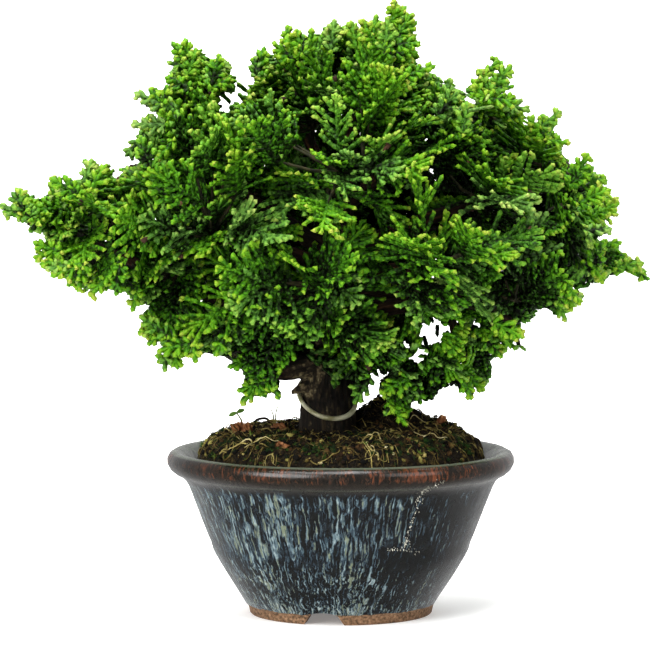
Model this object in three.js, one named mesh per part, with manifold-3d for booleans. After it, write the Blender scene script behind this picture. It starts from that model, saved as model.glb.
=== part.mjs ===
// A hinoki cypress bonsai in a round glazed stoneware pot.
// Millimetres, +Z up, +X to the right, -Y to the front. The origin is the centre of the pot's
// foot ring, on the surface that it stands on.
import * as THREE from "three";
import { mergeVertices } from "three/addons/utils/BufferGeometryUtils.js";
import Module from "manifold-3d";

const wasm = await Module();
wasm.setup();

const GAP = 0.3; // air between two pieces that touch in the real tree
const DEG = Math.PI / 180;

// ---------- pot ----------
const POT = {
  segments: 36,
  drainHoleRadius: 8,
  footInnerRadius: 30,
  footRadius: 36.8,
  undersideHeight: 5.6,
  floorHeight: 10,
  rimRadius: 69.8,
  rimHeight: 65.5,
};
// Arched drain notches through the foot ring.
const NOTCH = {
  count: 3,
  turn: -11,
  width: 15.4,
  topWidth: 8.5,
  splay: 1.2,
  height: 5.1,
  inner: -24,
  depth: 22,
};

// Outside from the foot up, over the rolled rim, and down the inside to the floor.
const POT_OUTSIDE = [
  [37.6, 3.9],
  [40.4, 8],
  [45.6, 16],
  [50.6, 23.6],
  [53.6, 32],
  [57, 41.5],
  [60.2, 49.3],
  [62.4, 54],
];
const POT_RIM = [
  [67.4, 57.2],
  [POT.rimRadius, 60.8],
  [69.2, 63.8],
  [66.8, POT.rimHeight],
  [63.4, 64.4],
  [60.2, 61.4],
];
const POT_INSIDE = [
  [57.2, 55.6],
  [46.4, 25],
  [34, POT.floorHeight],
];

// ---------- soil ----------
// Its rings, as shares of the edge's radius, are turned flat and then raised to the mound.
const SOIL = {
  segments: 30,
  edgeRadius: 57.6,
  edgeHeight: 61,
  crownHeight: 77,
  flatTop: 99,
  rings: [1, 0.9, 0.78, 0.64, 0.5, 0.36, 0.2],
};
// Low mounds on the soil: [x, y, height, spread].
const SOIL_MOUNDS = [
  [19, 16, 9, 15],
  [42, 20, 4.5, 15],
  [-34, 22, 1.5, 16],
];

const NET = { side: 21, holes: 3, hole: 4.4, thickness: 1 };

// ---------- wood ----------
const TRUNK = {
  path: [
    [-4, 0, 48],
    [-4, 0, 76],
    [-4, 0, 86],
    [-4, 1, 97],
    [-5, 2, 109],
    [-3, 3, 121],
    [2, 4, 137],
    [1, 4, 153],
    [0, 4, 169],
    [4, 3, 189],
    [8, 2, 205],
  ],
  radii: [8.6, 11.8, 10, 9.2, 9.3, 8.4, 6.8, 5.4, 4.4, 3.2, 2.2],
  sides: 10,
  rings: 12,
};
const SNAG = { path: [[-6, -2, 88], [-15, -5, 90.5], [-20.5, -6, 92]], radii: [2.6, 1.9, 1.2] };

// Each limb leaves the trunk's axis and holds sprays: [station along the limb, tip, tip, ...].
const LIMBS = {
  left_low: {
    path: [[-4, 2, 112], [-28, -10, 121], [-56, -24, 131], [-82, -38, 143], [-98, -47, 151]],
    radii: [4.6, 4, 3.2, 2.4, 1.6],
    sprays: [
      [1, [-128, -58, 166], [-116, -66, 151], [-108, -46, 174]],
      [0.86, [-97, -28, 181], [-84, -12, 172]],
      [0.78, [-102, -45, 131], [-115, -34, 141]],
      [0.62, [-81, -85, 163], [-73, -82, 144]],
      [0.5, [-95, 10, 148], [-104, 24, 163]],
    ],
  },
  left_drop: {
    path: [[-4, 1, 99], [-14, -4, 100], [-23, -8, 98], [-34, -15, 100], [-46, -23, 106]],
    radii: [5.2, 5, 4.2, 2.2, 1.5],
    sprays: [
      [1, [-79, -26, 119], [-74, -14, 102]],
      [0.84, [-60, -57, 110], [-48, -73, 121]],
      [0.6, [-44, -22, 86], [-27, -2, 88]],
      [0.92, [-70, 25, 124], [-57, 31, 107]],
    ],
  },
  left_high: {
    path: [[2, 4, 140], [-22, 4, 156], [-44, 4, 171], [-57, 4, 186], [-61, 6, 201]],
    radii: [4.2, 3.6, 3, 2.4, 1.6],
    sprays: [
      [1, [-63, 5, 227], [-46, 12, 218]],
      [0.86, [-82, 0, 205], [-74, -14, 215]],
      [0.7, [-84, -20, 190], [-88, -8, 175]],
      [0.5, [-68, -52, 177], [-52, -60, 187]],
      [0.64, [-40, -10, 201], [-34, -42, 184]],
      [0.78, [-79, 40, 195], [-62, 45, 209]],
    ],
  },
  crown_left: {
    path: [[0, 4, 164], [-8, 1, 180], [-15, -1, 194], [-18, -1, 206]],
    radii: [3.4, 2.8, 2.2, 1.5],
    sprays: [
      [1, [-21, 15, 229], [-9, -5, 234]],
      [0.7, [-33, -2, 221], [-38, -20, 206]],
      [0.5, [-16, -50, 208], [-3, -52, 216]],
    ],
  },
  crown: {
    path: [[4, 3, 189], [8, 2, 205]],
    radii: [2.4, 2.1],
    sprays: [
      [1, [4, 10, 237], [-4, 32, 227], [13, 40, 231]],
      [0.6, [25, 0, 242], [33, -8, 228]],
      [0.2, [13, -46, 217], [26, -50, 207]],
    ],
  },
  front_up: {
    path: [[1, 4, 158], [2, -16, 167], [3, -34, 173], [2, -50, 177]],
    radii: [3, 2.4, 2, 1.4],
    sprays: [
      [1, [1, -85, 172], [-8, -81, 188]],
      [0.8, [31, -77, 182], [17, -76, 197]],
      [0.66, [-22, -72, 180], [-29, -83, 164]],
    ],
  },
  right_top: {
    path: [[1, 4, 162], [17, 4, 176], [34, 4, 187], [47, 4, 197]],
    radii: [3.2, 2.6, 2.1, 1.5],
    sprays: [
      [1, [61, 5, 221], [72, 0, 208]],
      [0.8, [42, -24, 209], [50, 22, 214]],
      [0.5, [37, -60, 191], [54, -46, 197]],
    ],
  },
  right_mid: {
    path: [[2, 4, 144], [26, 0, 155], [50, -3, 163], [72, -1, 168], [86, 3, 171]],
    radii: [3.8, 3.2, 2.6, 2, 1.5],
    sprays: [
      [1, [97, 20, 186], [110, 15, 171]],
      [0.84, [85, 0, 200], [78, -24, 192]],
      [0.9, [110, -12, 156], [102, -36, 150]],
      [0.5, [62, -62, 181], [68, -71, 169]],
      [0.6, [92, 45, 172], [74, 46, 192]],
    ],
  },
  right_low: {
    path: [[-2, 3, 124], [22, 8, 128], [50, 17, 128], [76, 27, 129], [96, 35, 131]],
    radii: [4.2, 3.5, 2.8, 2.2, 1.5],
    sprays: [
      [1, [127, 55, 135], [116, 32, 142]],
      [0.8, [108, 16, 127], [96, 2, 118]],
    ],
  },
  right_under: {
    path: [[-4, 2, 117], [20, -4, 123], [42, -10, 125], [56, -12, 122], [68, -12, 118]],
    radii: [3.8, 3.4, 3, 2.4, 1.6],
    sprays: [
      [1, [77, -4, 105], [64, -36, 109]],
      [0.8, [86, -50, 141], [99, -30, 139]],
    ],
  },
  right_drop: {
    path: [[42, -10, 125], [45, -9, 114], [45, -8, 106]],
    radii: [2.2, 1.8, 1.4],
    sprays: [
      [0.7, [61, -12, 92], [52, -40, 102], [48, 28, 94]],
      [1, [27, -26, 80], [18, -4, 89]],
    ],
  },
  right_front: {
    path: [[0, 3, 133], [14, -18, 138], [28, -38, 141], [38, -54, 143]],
    radii: [3.4, 2.8, 2.2, 1.5],
    sprays: [
      [1, [50, -85, 159], [68, -76, 149]],
      [0.86, [24, -93, 157], [38, -94, 143]],
      [0.66, [31, -80, 124], [46, -82, 130]],
    ],
  },
  front: {
    path: [[-4, 2, 122], [-9, -18, 127], [-13, -38, 129], [-14, -56, 129]],
    radii: [3.4, 2.8, 2.2, 1.5],
    sprays: [
      [1, [3, -96, 149], [-17, -95, 150]],
      [0.84, [-36, -92, 132], [-46, -84, 137]],
      [0.62, [16, -70, 114], [-2, -80, 121], [-24, -75, 116]],
    ],
  },
  left_front: {
    path: [[0, 3, 136], [-18, -20, 145], [-34, -40, 150], [-46, -54, 152]],
    radii: [3.2, 2.6, 2.1, 1.5],
    sprays: [[1, [-53, -86, 150], [-66, -80, 157], [-46, -79, 170]]],
  },
  sprig: {
    path: [[-3, 2, 117], [3, -13, 117]],
    radii: [2, 1.5],
    sprays: [[1, [5, -36, 88], [19, -32, 101]]],
  },
  back_low: {
    path: [[-4, 2, 118], [-2, 24, 124], [2, 44, 128], [4, 60, 130]],
    radii: [3.4, 2.8, 2.2, 1.5],
    sprays: [
      [1, [-1, 96, 148], [22, 92, 134]],
      [0.75, [-26, 90, 134], [-13, 84, 116], [16, 76, 106]],
    ],
  },
  back_left: {
    path: [[-2, 3, 130], [-22, 26, 140], [-40, 44, 146], [-54, 56, 150]],
    radii: [3.4, 2.8, 2.2, 1.5],
    sprays: [
      [1, [-77, 74, 166], [-60, 89, 152]],
      [0.7, [-92, 50, 148], [-84, 60, 130], [-54, 72, 122]],
    ],
  },
  back_right: {
    path: [[2, 4, 138], [22, 27, 146], [40, 45, 151], [54, 57, 154]],
    radii: [3.4, 2.8, 2.2, 1.5],
    sprays: [
      [1, [62, 90, 158], [80, 72, 172]],
      [0.8, [94, 58, 150], [76, 74, 134]],
    ],
  },
  back_up: {
    path: [[1, 4, 156], [-3, 26, 170], [-5, 44, 179], [-5, 56, 184]],
    radii: [3.2, 2.6, 2.1, 1.5],
    sprays: [
      [1, [-14, 88, 188], [8, 90, 200]],
      [0.8, [-44, 70, 186], [-30, 72, 206], [-18, 54, 221]],
      [0.6, [28, 74, 184], [38, 60, 204]],
    ],
  },
};

// ---------- foliage ----------
// A fan of shoots is one arched blade, cut into lobes in pairs along its rib, thick at the rib
// and thin at its edge: [station on the rib, angle, reach, half thickness], in fan lengths.
const TIP_LOBES = [
  [0.22, 70, 0.46, 0.09],
  [0.42, 56, 0.5, 0.09],
  [0.66, 38, 0.36, 0.06],
];
const SIDE_LOBES = [
  [0.26, 66, 0.46, 0.1],
  [0.54, 44, 0.44, 0.08],
];
const FAN = { mostLength: 42, rib: 1.2, lobeWidth: 0.12, ragged: 0.24, crossing: 1 };
const NOTCH_AT = [0.13, 0.12]; // of a fan's length, past a lobe's root and away from the rib
const STEM = { radius: 1.4, sides: 3 };
// The heart of a spray, which its fans stand out of: half sizes along, across and through, and
// how far out from the limb it lies.
const HEART = { size: [5, 4.5, 3.5], station: 0.3, least: 12 };
// Fans that fill a spray out round its heart: turns from its axis, and their number and length.
const SIDE_TURNS = [62, -62, 110, -110, 85, -85];
const SIDE_FANS = { most: 3, length: 35, scales: [1, 0.85, 0.7] };
// Their tips stay inside this ellipsoid, and they leave the foot of the trunk open to the front.
const CROWN = { centre: [0, 0, 155], half: [122, 94, 76] };
const OPENING = { middle: [-9, -66, 88], size: [30, 108, 44] };
// Turns about its own rib, and sizes, that a fan tries until it is clear of the other sprays.
const ROLLS = [0, 25, -25, 50, -50, 75, -75];
const SHRINKS = [1, 0.85, 0.7, 0.55];
// Seeds of the draws, by spray and by fan within it.
const TIP_SEED = { spray: 7919, fan: 104729 };
const SIDE_SEED = { spray: 15485863, fan: 32452843 };

const TIE_WIRE = { ring: 12.8, wire: 0.9, centre: [-5.2, -0.2, 86.6], tilt: 30 };

const COLOURS = {
  glaze: [0x1f2a33, 0.25],
  soil: [0x3a2a18, 1],
  bark: [0x4e3a2b, 0.9],
  leaf: [0x3f8a1e, 0.6],
  wire: [0xb9bda2, 0.5],
  plastic: [0x1c1c1c, 0.7],
};

// ---------- solids ----------
function solidOf(geometry) {
  const g = geometry.clone();
  g.deleteAttribute("normal");
  g.deleteAttribute("uv");
  const merged = mergeVertices(g, 1e-4);
  const mesh = new wasm.Mesh({
    numProp: 3,
    vertProperties: new Float32Array(merged.attributes.position.array),
    triVerts: new Uint32Array(merged.index.array),
  });
  return new wasm.Manifold(mesh);
}

function geometryOf(solid) {
  const mesh = solid.getMesh();
  const geometry = new THREE.BufferGeometry();
  geometry.setAttribute("position", new THREE.BufferAttribute(mesh.vertProperties, 3));
  geometry.setIndex(new THREE.BufferAttribute(mesh.triVerts, 1));
  geometry.computeVertexNormals();
  return geometry;
}

const join = (solids) => solids.reduce((all, one) => all.add(one));

const clearOf = (solid, others) => others.every((other) => solid.minGap(other, 2 * GAP) >= GAP);

// Repeatable draws from 0 to 1, by a Lehmer generator.
function drawer(seed) {
  let state = seed % 2147483647;
  return () => {
    state = (state * 16807) % 2147483647;
    return state / 2147483647;
  };
}

// A closed tapered tube along a smooth path: a cylinder whose rings are moved onto it.
function tapered(path, radii, sides, rings, grow = 0) {
  const curve = new THREE.CatmullRomCurve3(path.map((p) => new THREE.Vector3(...p)));
  const frames = curve.computeFrenetFrames(rings, false);
  const tube = new THREE.CylinderGeometry(1, 1, 1, sides, rings);
  const position = tube.attributes.position;
  for (let i = 0; i < position.count; i++) {
    const ring = Math.round((position.getY(i) + 0.5) * rings);
    const t = ring / rings;
    const span = Math.min(t * (radii.length - 1), radii.length - 1.001);
    const k = Math.floor(span);
    const radius = THREE.MathUtils.lerp(radii[k], radii[k + 1], span - k) + grow;
    const point = curve
      .getPoint(t)
      .addScaledVector(frames.binormals[ring], radius * position.getX(i))
      .addScaledVector(frames.normals[ring], radius * position.getZ(i));
    position.setXYZ(i, point.x, point.y, point.z);
  }
  return solidOf(tube);
}

// ---------- pot, soil, net and wire ----------
function lathe(profile, segments) {
  const points = profile.map(([r, z]) => new THREE.Vector2(r, z));
  return new THREE.LatheGeometry(points, segments).rotateX(Math.PI / 2);
}

// An arch that runs radially through the foot ring, from inside it to beyond the rim.
function notchCutter() {
  const half = NOTCH.width / 2;
  const top = NOTCH.topWidth / 2;
  const shoulder = NOTCH.height / 2;
  const arch = new THREE.Shape();
  arch.moveTo(-half - NOTCH.splay, -NOTCH.splay);
  arch.lineTo(half + NOTCH.splay, -NOTCH.splay);
  arch.lineTo(half - NOTCH.splay, shoulder);
  arch.quadraticCurveTo(top, NOTCH.height, 0, NOTCH.height);
  arch.quadraticCurveTo(-top, NOTCH.height, NOTCH.splay - half, shoulder);
  const options = { depth: NOTCH.depth, bevelEnabled: false, curveSegments: 4 };
  const cutter = new THREE.ExtrudeGeometry(arch, options);
  return cutter.rotateX(Math.PI / 2).translate(0, NOTCH.inner, 0);
}

function potGeometry() {
  const profile = [
    [POT.drainHoleRadius, POT.undersideHeight],
    [POT.footInnerRadius - 1, POT.undersideHeight],
    [POT.footInnerRadius, 0],
    [POT.footRadius, 0],
    ...POT_OUTSIDE,
    ...POT_RIM,
    ...POT_INSIDE,
    [POT.drainHoleRadius, POT.floorHeight],
    [POT.drainHoleRadius, POT.undersideHeight],
  ];
  let pot = solidOf(lathe(profile, POT.segments));
  for (let i = 0; i < NOTCH.count; i++) {
    const turn = (NOTCH.turn + (360 / NOTCH.count) * i) * DEG;
    pot = pot.subtract(solidOf(notchCutter().rotateZ(turn)));
  }
  return geometryOf(pot);
}

// Height of the soil: a rounded mound with hummocks and a fine lumpy relief.
function soilHeight(x, y) {
  const r = Math.min(Math.hypot(x, y) / SOIL.edgeRadius, 1);
  let z = SOIL.edgeHeight + (SOIL.crownHeight - SOIL.edgeHeight) * (1 - r ** 3) ** 0.7;
  for (const [mx, my, height, spread] of SOIL_MOUNDS) {
    z += height * Math.exp(-((x - mx) ** 2 + (y - my) ** 2) / spread ** 2) * (1 - r ** 6);
  }
  const lumps = Math.sin(x * 0.55 + y * 0.21) * Math.sin(y * 0.47 - x * 0.18);
  return z + lumps * (1 - r ** 8);
}

// The soil fills the pot, with a hole for the trunk and a recess for the net below it.
function soilSolid() {
  const floor = POT.floorHeight + GAP;
  const wall = [...POT_INSIDE].reverse().map(([r, z]) => [r - GAP * 1.3, z + GAP]);
  const rings = SOIL.rings.map((share) => [SOIL.edgeRadius * share, SOIL.flatTop]);
  const edge = [SOIL.edgeRadius, SOIL.edgeHeight - 2 * GAP];
  const profile = [[0, floor], ...wall, edge, ...rings, [0, SOIL.flatTop]];
  const body = lathe(profile, SOIL.segments);
  const position = body.attributes.position;
  for (let i = 0; i < position.count; i++) {
    if (position.getZ(i) < SOIL.flatTop - 1) continue;
    position.setZ(i, soilHeight(position.getX(i), position.getY(i)));
  }
  const side = NET.side + 2 * GAP;
  const recess = new THREE.BoxGeometry(side, side, 2 * (NET.thickness + 2 * GAP));
  recess.translate(0, 0, POT.floorHeight);
  const trunk = trunkSolid(GAP);
  const cuts = [solidOf(recess), trunk, trunk.translate([0, 0, -GAP])];
  return cuts.reduce((soil, cut) => soil.subtract(cut), solidOf(body));
}

// A square of plastic netting over the drain hole, under the soil.
function netGeometry() {
  const box = (side, height) => solidOf(new THREE.BoxGeometry(side, side, height));
  const pitch = NET.side / (NET.holes + 0.4);
  const middle = (NET.holes - 1) / 2;
  let net = box(NET.side, NET.thickness);
  for (let i = 0; i < NET.holes; i++) {
    for (let j = 0; j < NET.holes; j++) {
      const hole = box(NET.hole, 2 * NET.thickness);
      net = net.subtract(hole.translate([(i - middle) * pitch, (j - middle) * pitch, 0]));
    }
  }
  return geometryOf(net.translate([0, 0, POT.floorHeight + GAP + NET.thickness / 2]));
}

// A loop of coated wire laid slantwise round the foot of the trunk.
function tieWireGeometry() {
  const tilt = TIE_WIRE.tilt * DEG;
  const ring = new THREE.TorusGeometry(TIE_WIRE.ring, TIE_WIRE.wire, 6, 26);
  return ring.scale(1, 1 / Math.cos(tilt), 1).rotateX(tilt).translate(...TIE_WIRE.centre);
}

// ---------- wood ----------
const trunkSolid = (grow) => tapered(TRUNK.path, TRUNK.radii, TRUNK.sides, TRUNK.rings, grow);

function woodSolid() {
  const limbs = Object.values(LIMBS).map(({ path, radii }) => tapered(path, radii, 5, path.length));
  return join([trunkSolid(0), tapered(SNAG.path, SNAG.radii, 6, 3), ...limbs]);
}

// ---------- foliage ----------
// Half the outline of a fan that lies along +X, from its base to its tip: each point with the
// place on the ridge that its faces run to.
function fanSide({ length, stalk, lobes }, hand, draw) {
  const half = (FAN.lobeWidth * length) / 2;
  const last = lobes.length;
  const points = [[-stalk, hand * FAN.rib, 0]];
  lobes.forEach(([station, angle, reach], k) => {
    const vary = 1 + FAN.ragged * (draw() - 0.5);
    const turn = (angle + 14 * (draw() - 0.5)) * DEG;
    const [c, s] = [Math.cos(turn), Math.sin(turn)];
    const x = station * length + c * reach * length * vary;
    const y = FAN.rib + s * reach * length * vary;
    points.push([x - half * s, hand * (y + half * c), k + 1]);
    points.push([x + half * s, hand * (y - half * c), k + 1]);
    const notch = [(station + NOTCH_AT[0]) * length, hand * (FAN.rib + NOTCH_AT[1] * length)];
    points.push([...notch, Math.min(k + 2, last)]);
  });
  points.push([length, hand * half, last]);
  return points;
}

// A fan blade: faces from its outline to a ridge above and below, drooping along the rib and
// cupped across it.
function fanSolid(fan, bend, draw, matrix) {
  const { length, lobes } = fan;
  const right = fanSide(fan, -1, draw);
  const left = fanSide(fan, 1, draw);
  const outline = [...right, ...left.reverse()];
  const ridge = [[0, FAN.rib / 1.5], ...lobes.map((lobe) => [lobe[0] * length, lobe[3] * length])];
  const above = (k) => outline.length + k;
  const below = (k) => outline.length + ridge.length + k;
  const place = (x, y, z) => {
    const lift = (-bend.droop * Math.max(x, 0) ** 2 - bend.cup * y * y) / length;
    return new THREE.Vector3(x, y, z + lift).applyMatrix4(matrix).toArray();
  };
  const position = [
    ...outline.map(([x, y]) => place(x, y, 0)),
    ...ridge.map(([x, thick]) => place(x, 0, thick)),
    ...ridge.map(([x, thick]) => place(x, 0, -thick)),
  ];
  const index = outline.flatMap(([, , from], i) => {
    const next = (i + 1) % outline.length;
    const to = outline[next][2];
    const faces = [above(from), i, next, below(from), next, i];
    if (from !== to) faces.push(above(from), next, above(to), below(from), below(to), next);
    return faces;
  });
  const blade = new THREE.BufferGeometry();
  blade.setAttribute("position", new THREE.Float32BufferAttribute(position.flat(), 3));
  return solidOf(blade.setIndex(index));
}

// A frame with its X along a spray, and its Z up and outwards with a random lean.
function leafFrame(base, along, draw, roll) {
  const outward = new THREE.Vector3(base.x, base.y, base.z - 135).normalize();
  const face = new THREE.Vector3(draw() - 0.5, draw() - 0.5, draw() - 0.5).multiplyScalar(0.9);
  face.addScaledVector(outward, 0.6).add(new THREE.Vector3(0, -0.15, 0.6));
  face.addScaledVector(along, -face.dot(along)).normalize().applyAxisAngle(along, roll * DEG);
  const side = new THREE.Vector3().crossVectors(face, along);
  return new THREE.Matrix4().makeBasis(along, side, face).setPosition(base);
}

// A spray's stem runs from the limb to its heart, and each of its fans from there to a tip.
function sprayPlan(limb, [station, ...tips]) {
  const curve = new THREE.CatmullRomCurve3(limb.path.map((p) => new THREE.Vector3(...p)));
  const root = curve.getPoint(station);
  const ends = tips.map((tip) => new THREE.Vector3(...tip));
  const along = ends.reduce((a, b) => a.clone().add(b)).divideScalar(ends.length).sub(root);
  const reach = Math.max(HEART.station * along.length(), HEART.least);
  along.normalize();
  const centre = root.clone().addScaledVector(along, reach);
  const fans = ends.map((tip) => {
    const toTip = tip.clone().sub(centre);
    const length = Math.min(toTip.length(), FAN.mostLength);
    const stalk = toTip.length() - length;
    toTip.normalize();
    const base = tip.clone().addScaledVector(toTip, -length);
    return { along: toTip, length, stalk, base, lobes: TIP_LOBES };
  });
  return { root, centre, along, fans };
}

// The stem and heart of a spray. The stem's root stops just clear of the limb that bears it.
function coreSolid({ root, centre, along }, others) {
  const heart = new THREE.OctahedronGeometry(1, 0).scale(...HEART.size);
  const stemFrom = (start) => {
    const foot = root.clone().addScaledVector(along, start);
    const path = [foot.toArray(), centre.toArray()];
    return tapered(path, [STEM.radius, STEM.radius], STEM.sides, 1);
  };
  let start = GAP;
  while (!clearOf(stemFrom(start), others)) start += GAP;
  return stemFrom(start).add(solidOf(heart.applyMatrix4(leafFrame(centre, along, () => 0.5, 0))));
}

// Tries each roll and size in turn, and gives the first fan that is clear of all others, and
// that crosses its own spray's fans only inside their heart.
function clearFan(fan, seed, scales, others, [heart, ...siblings]) {
  for (const scale of scales) {
    for (const roll of ROLLS) {
      const draw = drawer(seed);
      const bend = { droop: 0.02 + 0.2 * draw(), cup: 0.5 * (draw() - 0.4) };
      const matrix = leafFrame(fan.base, fan.along, draw, roll);
      const blade = fanSolid({ ...fan, length: fan.length * scale }, bend, draw, matrix);
      if (!clearOf(blade, others)) continue;
      const outside = blade.subtract(heart);
      if (siblings.some((s) => outside.intersect(s).volume() > FAN.crossing)) continue;
      return blade;
    }
  }
  return null;
}

// A fan that springs from the heart of a spray at an angle to its axis.
function sideFan({ centre, along }, turn) {
  const across = new THREE.Vector3();
  across.setFromMatrixColumn(leafFrame(centre, along, () => 0.5, 0), 1);
  const way = along.clone().multiplyScalar(Math.cos(turn * DEG));
  way.addScaledVector(across, Math.sin(turn * DEG));
  return { along: way, length: SIDE_FANS.length, stalk: 0, base: centre, lobes: SIDE_LOBES };
}

function insideCrown({ base, along, length }) {
  const tip = base.clone().addScaledVector(along, length).toArray();
  const parts = tip.map((v, axis) => (v - CROWN.centre[axis]) / CROWN.half[axis]);
  return Math.hypot(...parts) < 1;
}

function foliage(obstacles) {
  const sprays = Object.entries(LIMBS).flatMap(([name, limb]) =>
    limb.sprays.map((spray, i) => ({ name: `spray_${name}_${i + 1}`, ...sprayPlan(limb, spray) })),
  );
  for (const spray of sprays) spray.solids = [coreSolid(spray, obstacles)];
  const othersThan = (spray) => [
    ...obstacles,
    ...sprays.filter((s) => s !== spray).flatMap((s) => s.solids),
  ];
  sprays.forEach((spray, index) => {
    const others = othersThan(spray);
    spray.fans.forEach((fan, k) => {
      const seed = TIP_SEED.spray * (index + 1) + TIP_SEED.fan * (k + 1);
      const blade = clearFan(fan, seed, SHRINKS, others, spray.solids);
      if (blade) spray.solids.push(blade);
    });
  });
  const opening = new THREE.BoxGeometry(...OPENING.size).translate(...OPENING.middle);
  sprays.forEach((spray, index) => {
    const others = [...othersThan(spray), solidOf(opening)];
    const most = spray.solids.length + SIDE_FANS.most;
    SIDE_TURNS.forEach((turn, k) => {
      const fan = sideFan(spray, turn);
      if (spray.solids.length === most || !insideCrown(fan)) return;
      const seed = SIDE_SEED.spray * (index + 1) + SIDE_SEED.fan * (k + 1);
      const blade = clearFan(fan, seed, SIDE_FANS.scales, others, spray.solids);
      if (blade) spray.solids.push(blade);
    });
  });
  return sprays;
}

// ---------- assembly ----------
const tree = new THREE.Group();

function place(name, geometry, [color, roughness], metalness = 0) {
  const material = new THREE.MeshStandardMaterial({ color, roughness, metalness });
  const mesh = new THREE.Mesh(geometry, material);
  mesh.name = name;
  tree.add(mesh);
}

const wood = woodSolid();
const soil = soilSolid();
const potForm = potGeometry();
const tieWire = tieWireGeometry();

place("pot", potForm, COLOURS.glaze);
place("drain_mesh", netGeometry(), COLOURS.plastic);
place("soil", geometryOf(soil), COLOURS.soil);
place("trunk_and_limbs", geometryOf(wood), COLOURS.bark);
place("tie_wire", tieWire, COLOURS.wire);
for (const spray of foliage([wood, soil, solidOf(potForm), solidOf(tieWire)])) {
  place(spray.name, geometryOf(join(spray.solids)), COLOURS.leaf);
}

export default tree;
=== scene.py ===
import math
from functools import partial

import bmesh
import bpy
import numpy as np
from mathutils import Matrix, Vector, noise


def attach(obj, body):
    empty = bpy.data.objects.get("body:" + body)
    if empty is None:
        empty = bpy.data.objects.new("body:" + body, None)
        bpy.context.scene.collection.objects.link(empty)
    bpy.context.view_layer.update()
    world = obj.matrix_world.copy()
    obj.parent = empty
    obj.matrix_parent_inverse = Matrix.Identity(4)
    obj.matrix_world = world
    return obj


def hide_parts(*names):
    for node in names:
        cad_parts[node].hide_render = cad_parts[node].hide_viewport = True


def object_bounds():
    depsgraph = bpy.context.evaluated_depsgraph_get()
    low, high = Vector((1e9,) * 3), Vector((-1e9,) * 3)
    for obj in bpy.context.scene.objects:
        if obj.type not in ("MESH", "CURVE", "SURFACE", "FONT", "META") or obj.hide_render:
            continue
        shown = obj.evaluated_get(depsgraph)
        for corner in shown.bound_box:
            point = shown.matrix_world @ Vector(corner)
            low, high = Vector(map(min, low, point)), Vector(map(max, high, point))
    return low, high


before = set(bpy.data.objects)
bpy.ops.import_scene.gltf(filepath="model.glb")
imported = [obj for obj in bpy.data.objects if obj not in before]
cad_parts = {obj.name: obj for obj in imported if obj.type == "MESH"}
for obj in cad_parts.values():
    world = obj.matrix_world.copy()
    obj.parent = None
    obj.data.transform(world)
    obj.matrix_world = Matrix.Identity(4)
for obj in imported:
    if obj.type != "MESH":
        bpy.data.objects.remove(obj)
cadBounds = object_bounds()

# A hinoki cypress bonsai in a glazed stoneware pot. Sizes are in millimetres unless a line says otherwise.
mm = 0.001
scene = bpy.context.scene


def linear(code):  # "#rrggbb" in sRGB to the linear colour that nodes take
    parts = [int(code[i:i + 2], 16) / 255 for i in (1, 3, 5)]
    return (*[c / 12.92 if c <= 0.04045 else ((c + 0.055) / 1.055) ** 2.4 for c in parts], 1.0)


def addNode(tree, kind, inputs=None, **settings):
    # an input that is a socket is linked, a node stands for its first output, and anything else is set
    node = tree.nodes.new(kind)
    for name, value in settings.items():
        setattr(node, name, value)
    for name, value in (inputs or {}).items():
        if isinstance(value, bpy.types.Node):
            value = value.outputs[0]
        if isinstance(value, bpy.types.NodeSocket):
            tree.links.new(value, node.inputs[name])
        else:
            node.inputs[name].default_value = value
    return node


def newMaterial(name):  # an empty material, and what adds nodes to it
    material = bpy.data.materials.new(name)
    material.use_nodes = True
    material.node_tree.nodes.clear()
    return material, partial(addNode, material.node_tree)


def finishMaterial(add, inputs):
    add("ShaderNodeOutputMaterial", {"Surface": add("ShaderNodeBsdfPrincipled", inputs)})


def fillRamp(node, stops):
    ramp = node.color_ramp
    while len(ramp.elements) < len(stops):
        ramp.elements.new(0.5)
    for element, (place, colour) in zip(ramp.elements, stops):
        element.position = place
        element.color = linear(colour)


def plainMesh(name, vertices, faces, edges=()):
    mesh = bpy.data.meshes.new(name)
    mesh.from_pydata([tuple(v) for v in vertices], list(edges), list(faces))
    mesh.update()
    return mesh


def meshOf(name, bm):  # a finished bmesh as a mesh
    mesh = bpy.data.meshes.new(name)
    bm.to_mesh(mesh)
    bm.free()
    return mesh


def faceOut(mesh):  # turns every face of a closed mesh outward
    bm = bmesh.new()
    bm.from_mesh(mesh)
    bmesh.ops.recalc_face_normals(bm, faces=bm.faces)
    bm.to_mesh(mesh)
    bm.free()
    return mesh


def newPiece(name, mesh, material=None):
    piece = bpy.data.objects.new(name, mesh)
    scene.collection.objects.link(piece)
    if material:
        mesh.materials.append(material)
    return piece


def paint(mesh, name, kind, values):  # a point attribute from an array
    attribute = mesh.attributes.new(name, kind, "POINT")
    key = "vector" if kind == "FLOAT_VECTOR" else "value"
    numbers = np.asarray(values, dtype=bool if kind == "BOOLEAN" else np.float32)
    attribute.data.foreach_set(key, numbers.ravel())


def triangles(pieces):
    return sum(len(face.vertices) - 2 for piece in pieces for face in piece.data.polygons)


def newTree(name, sockets):  # a Geometry Nodes tree with named inputs
    tree = bpy.data.node_groups.new(name, "GeometryNodeTree")
    tree.interface.new_socket("Geometry", in_out="OUTPUT", socket_type="NodeSocketGeometry")
    tree.interface.new_socket("Geometry", in_out="INPUT", socket_type="NodeSocketGeometry")
    for label, kind in sockets:
        tree.interface.new_socket(label, in_out="INPUT", socket_type="NodeSocket" + kind)
    return tree, partial(addNode, tree)


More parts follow.
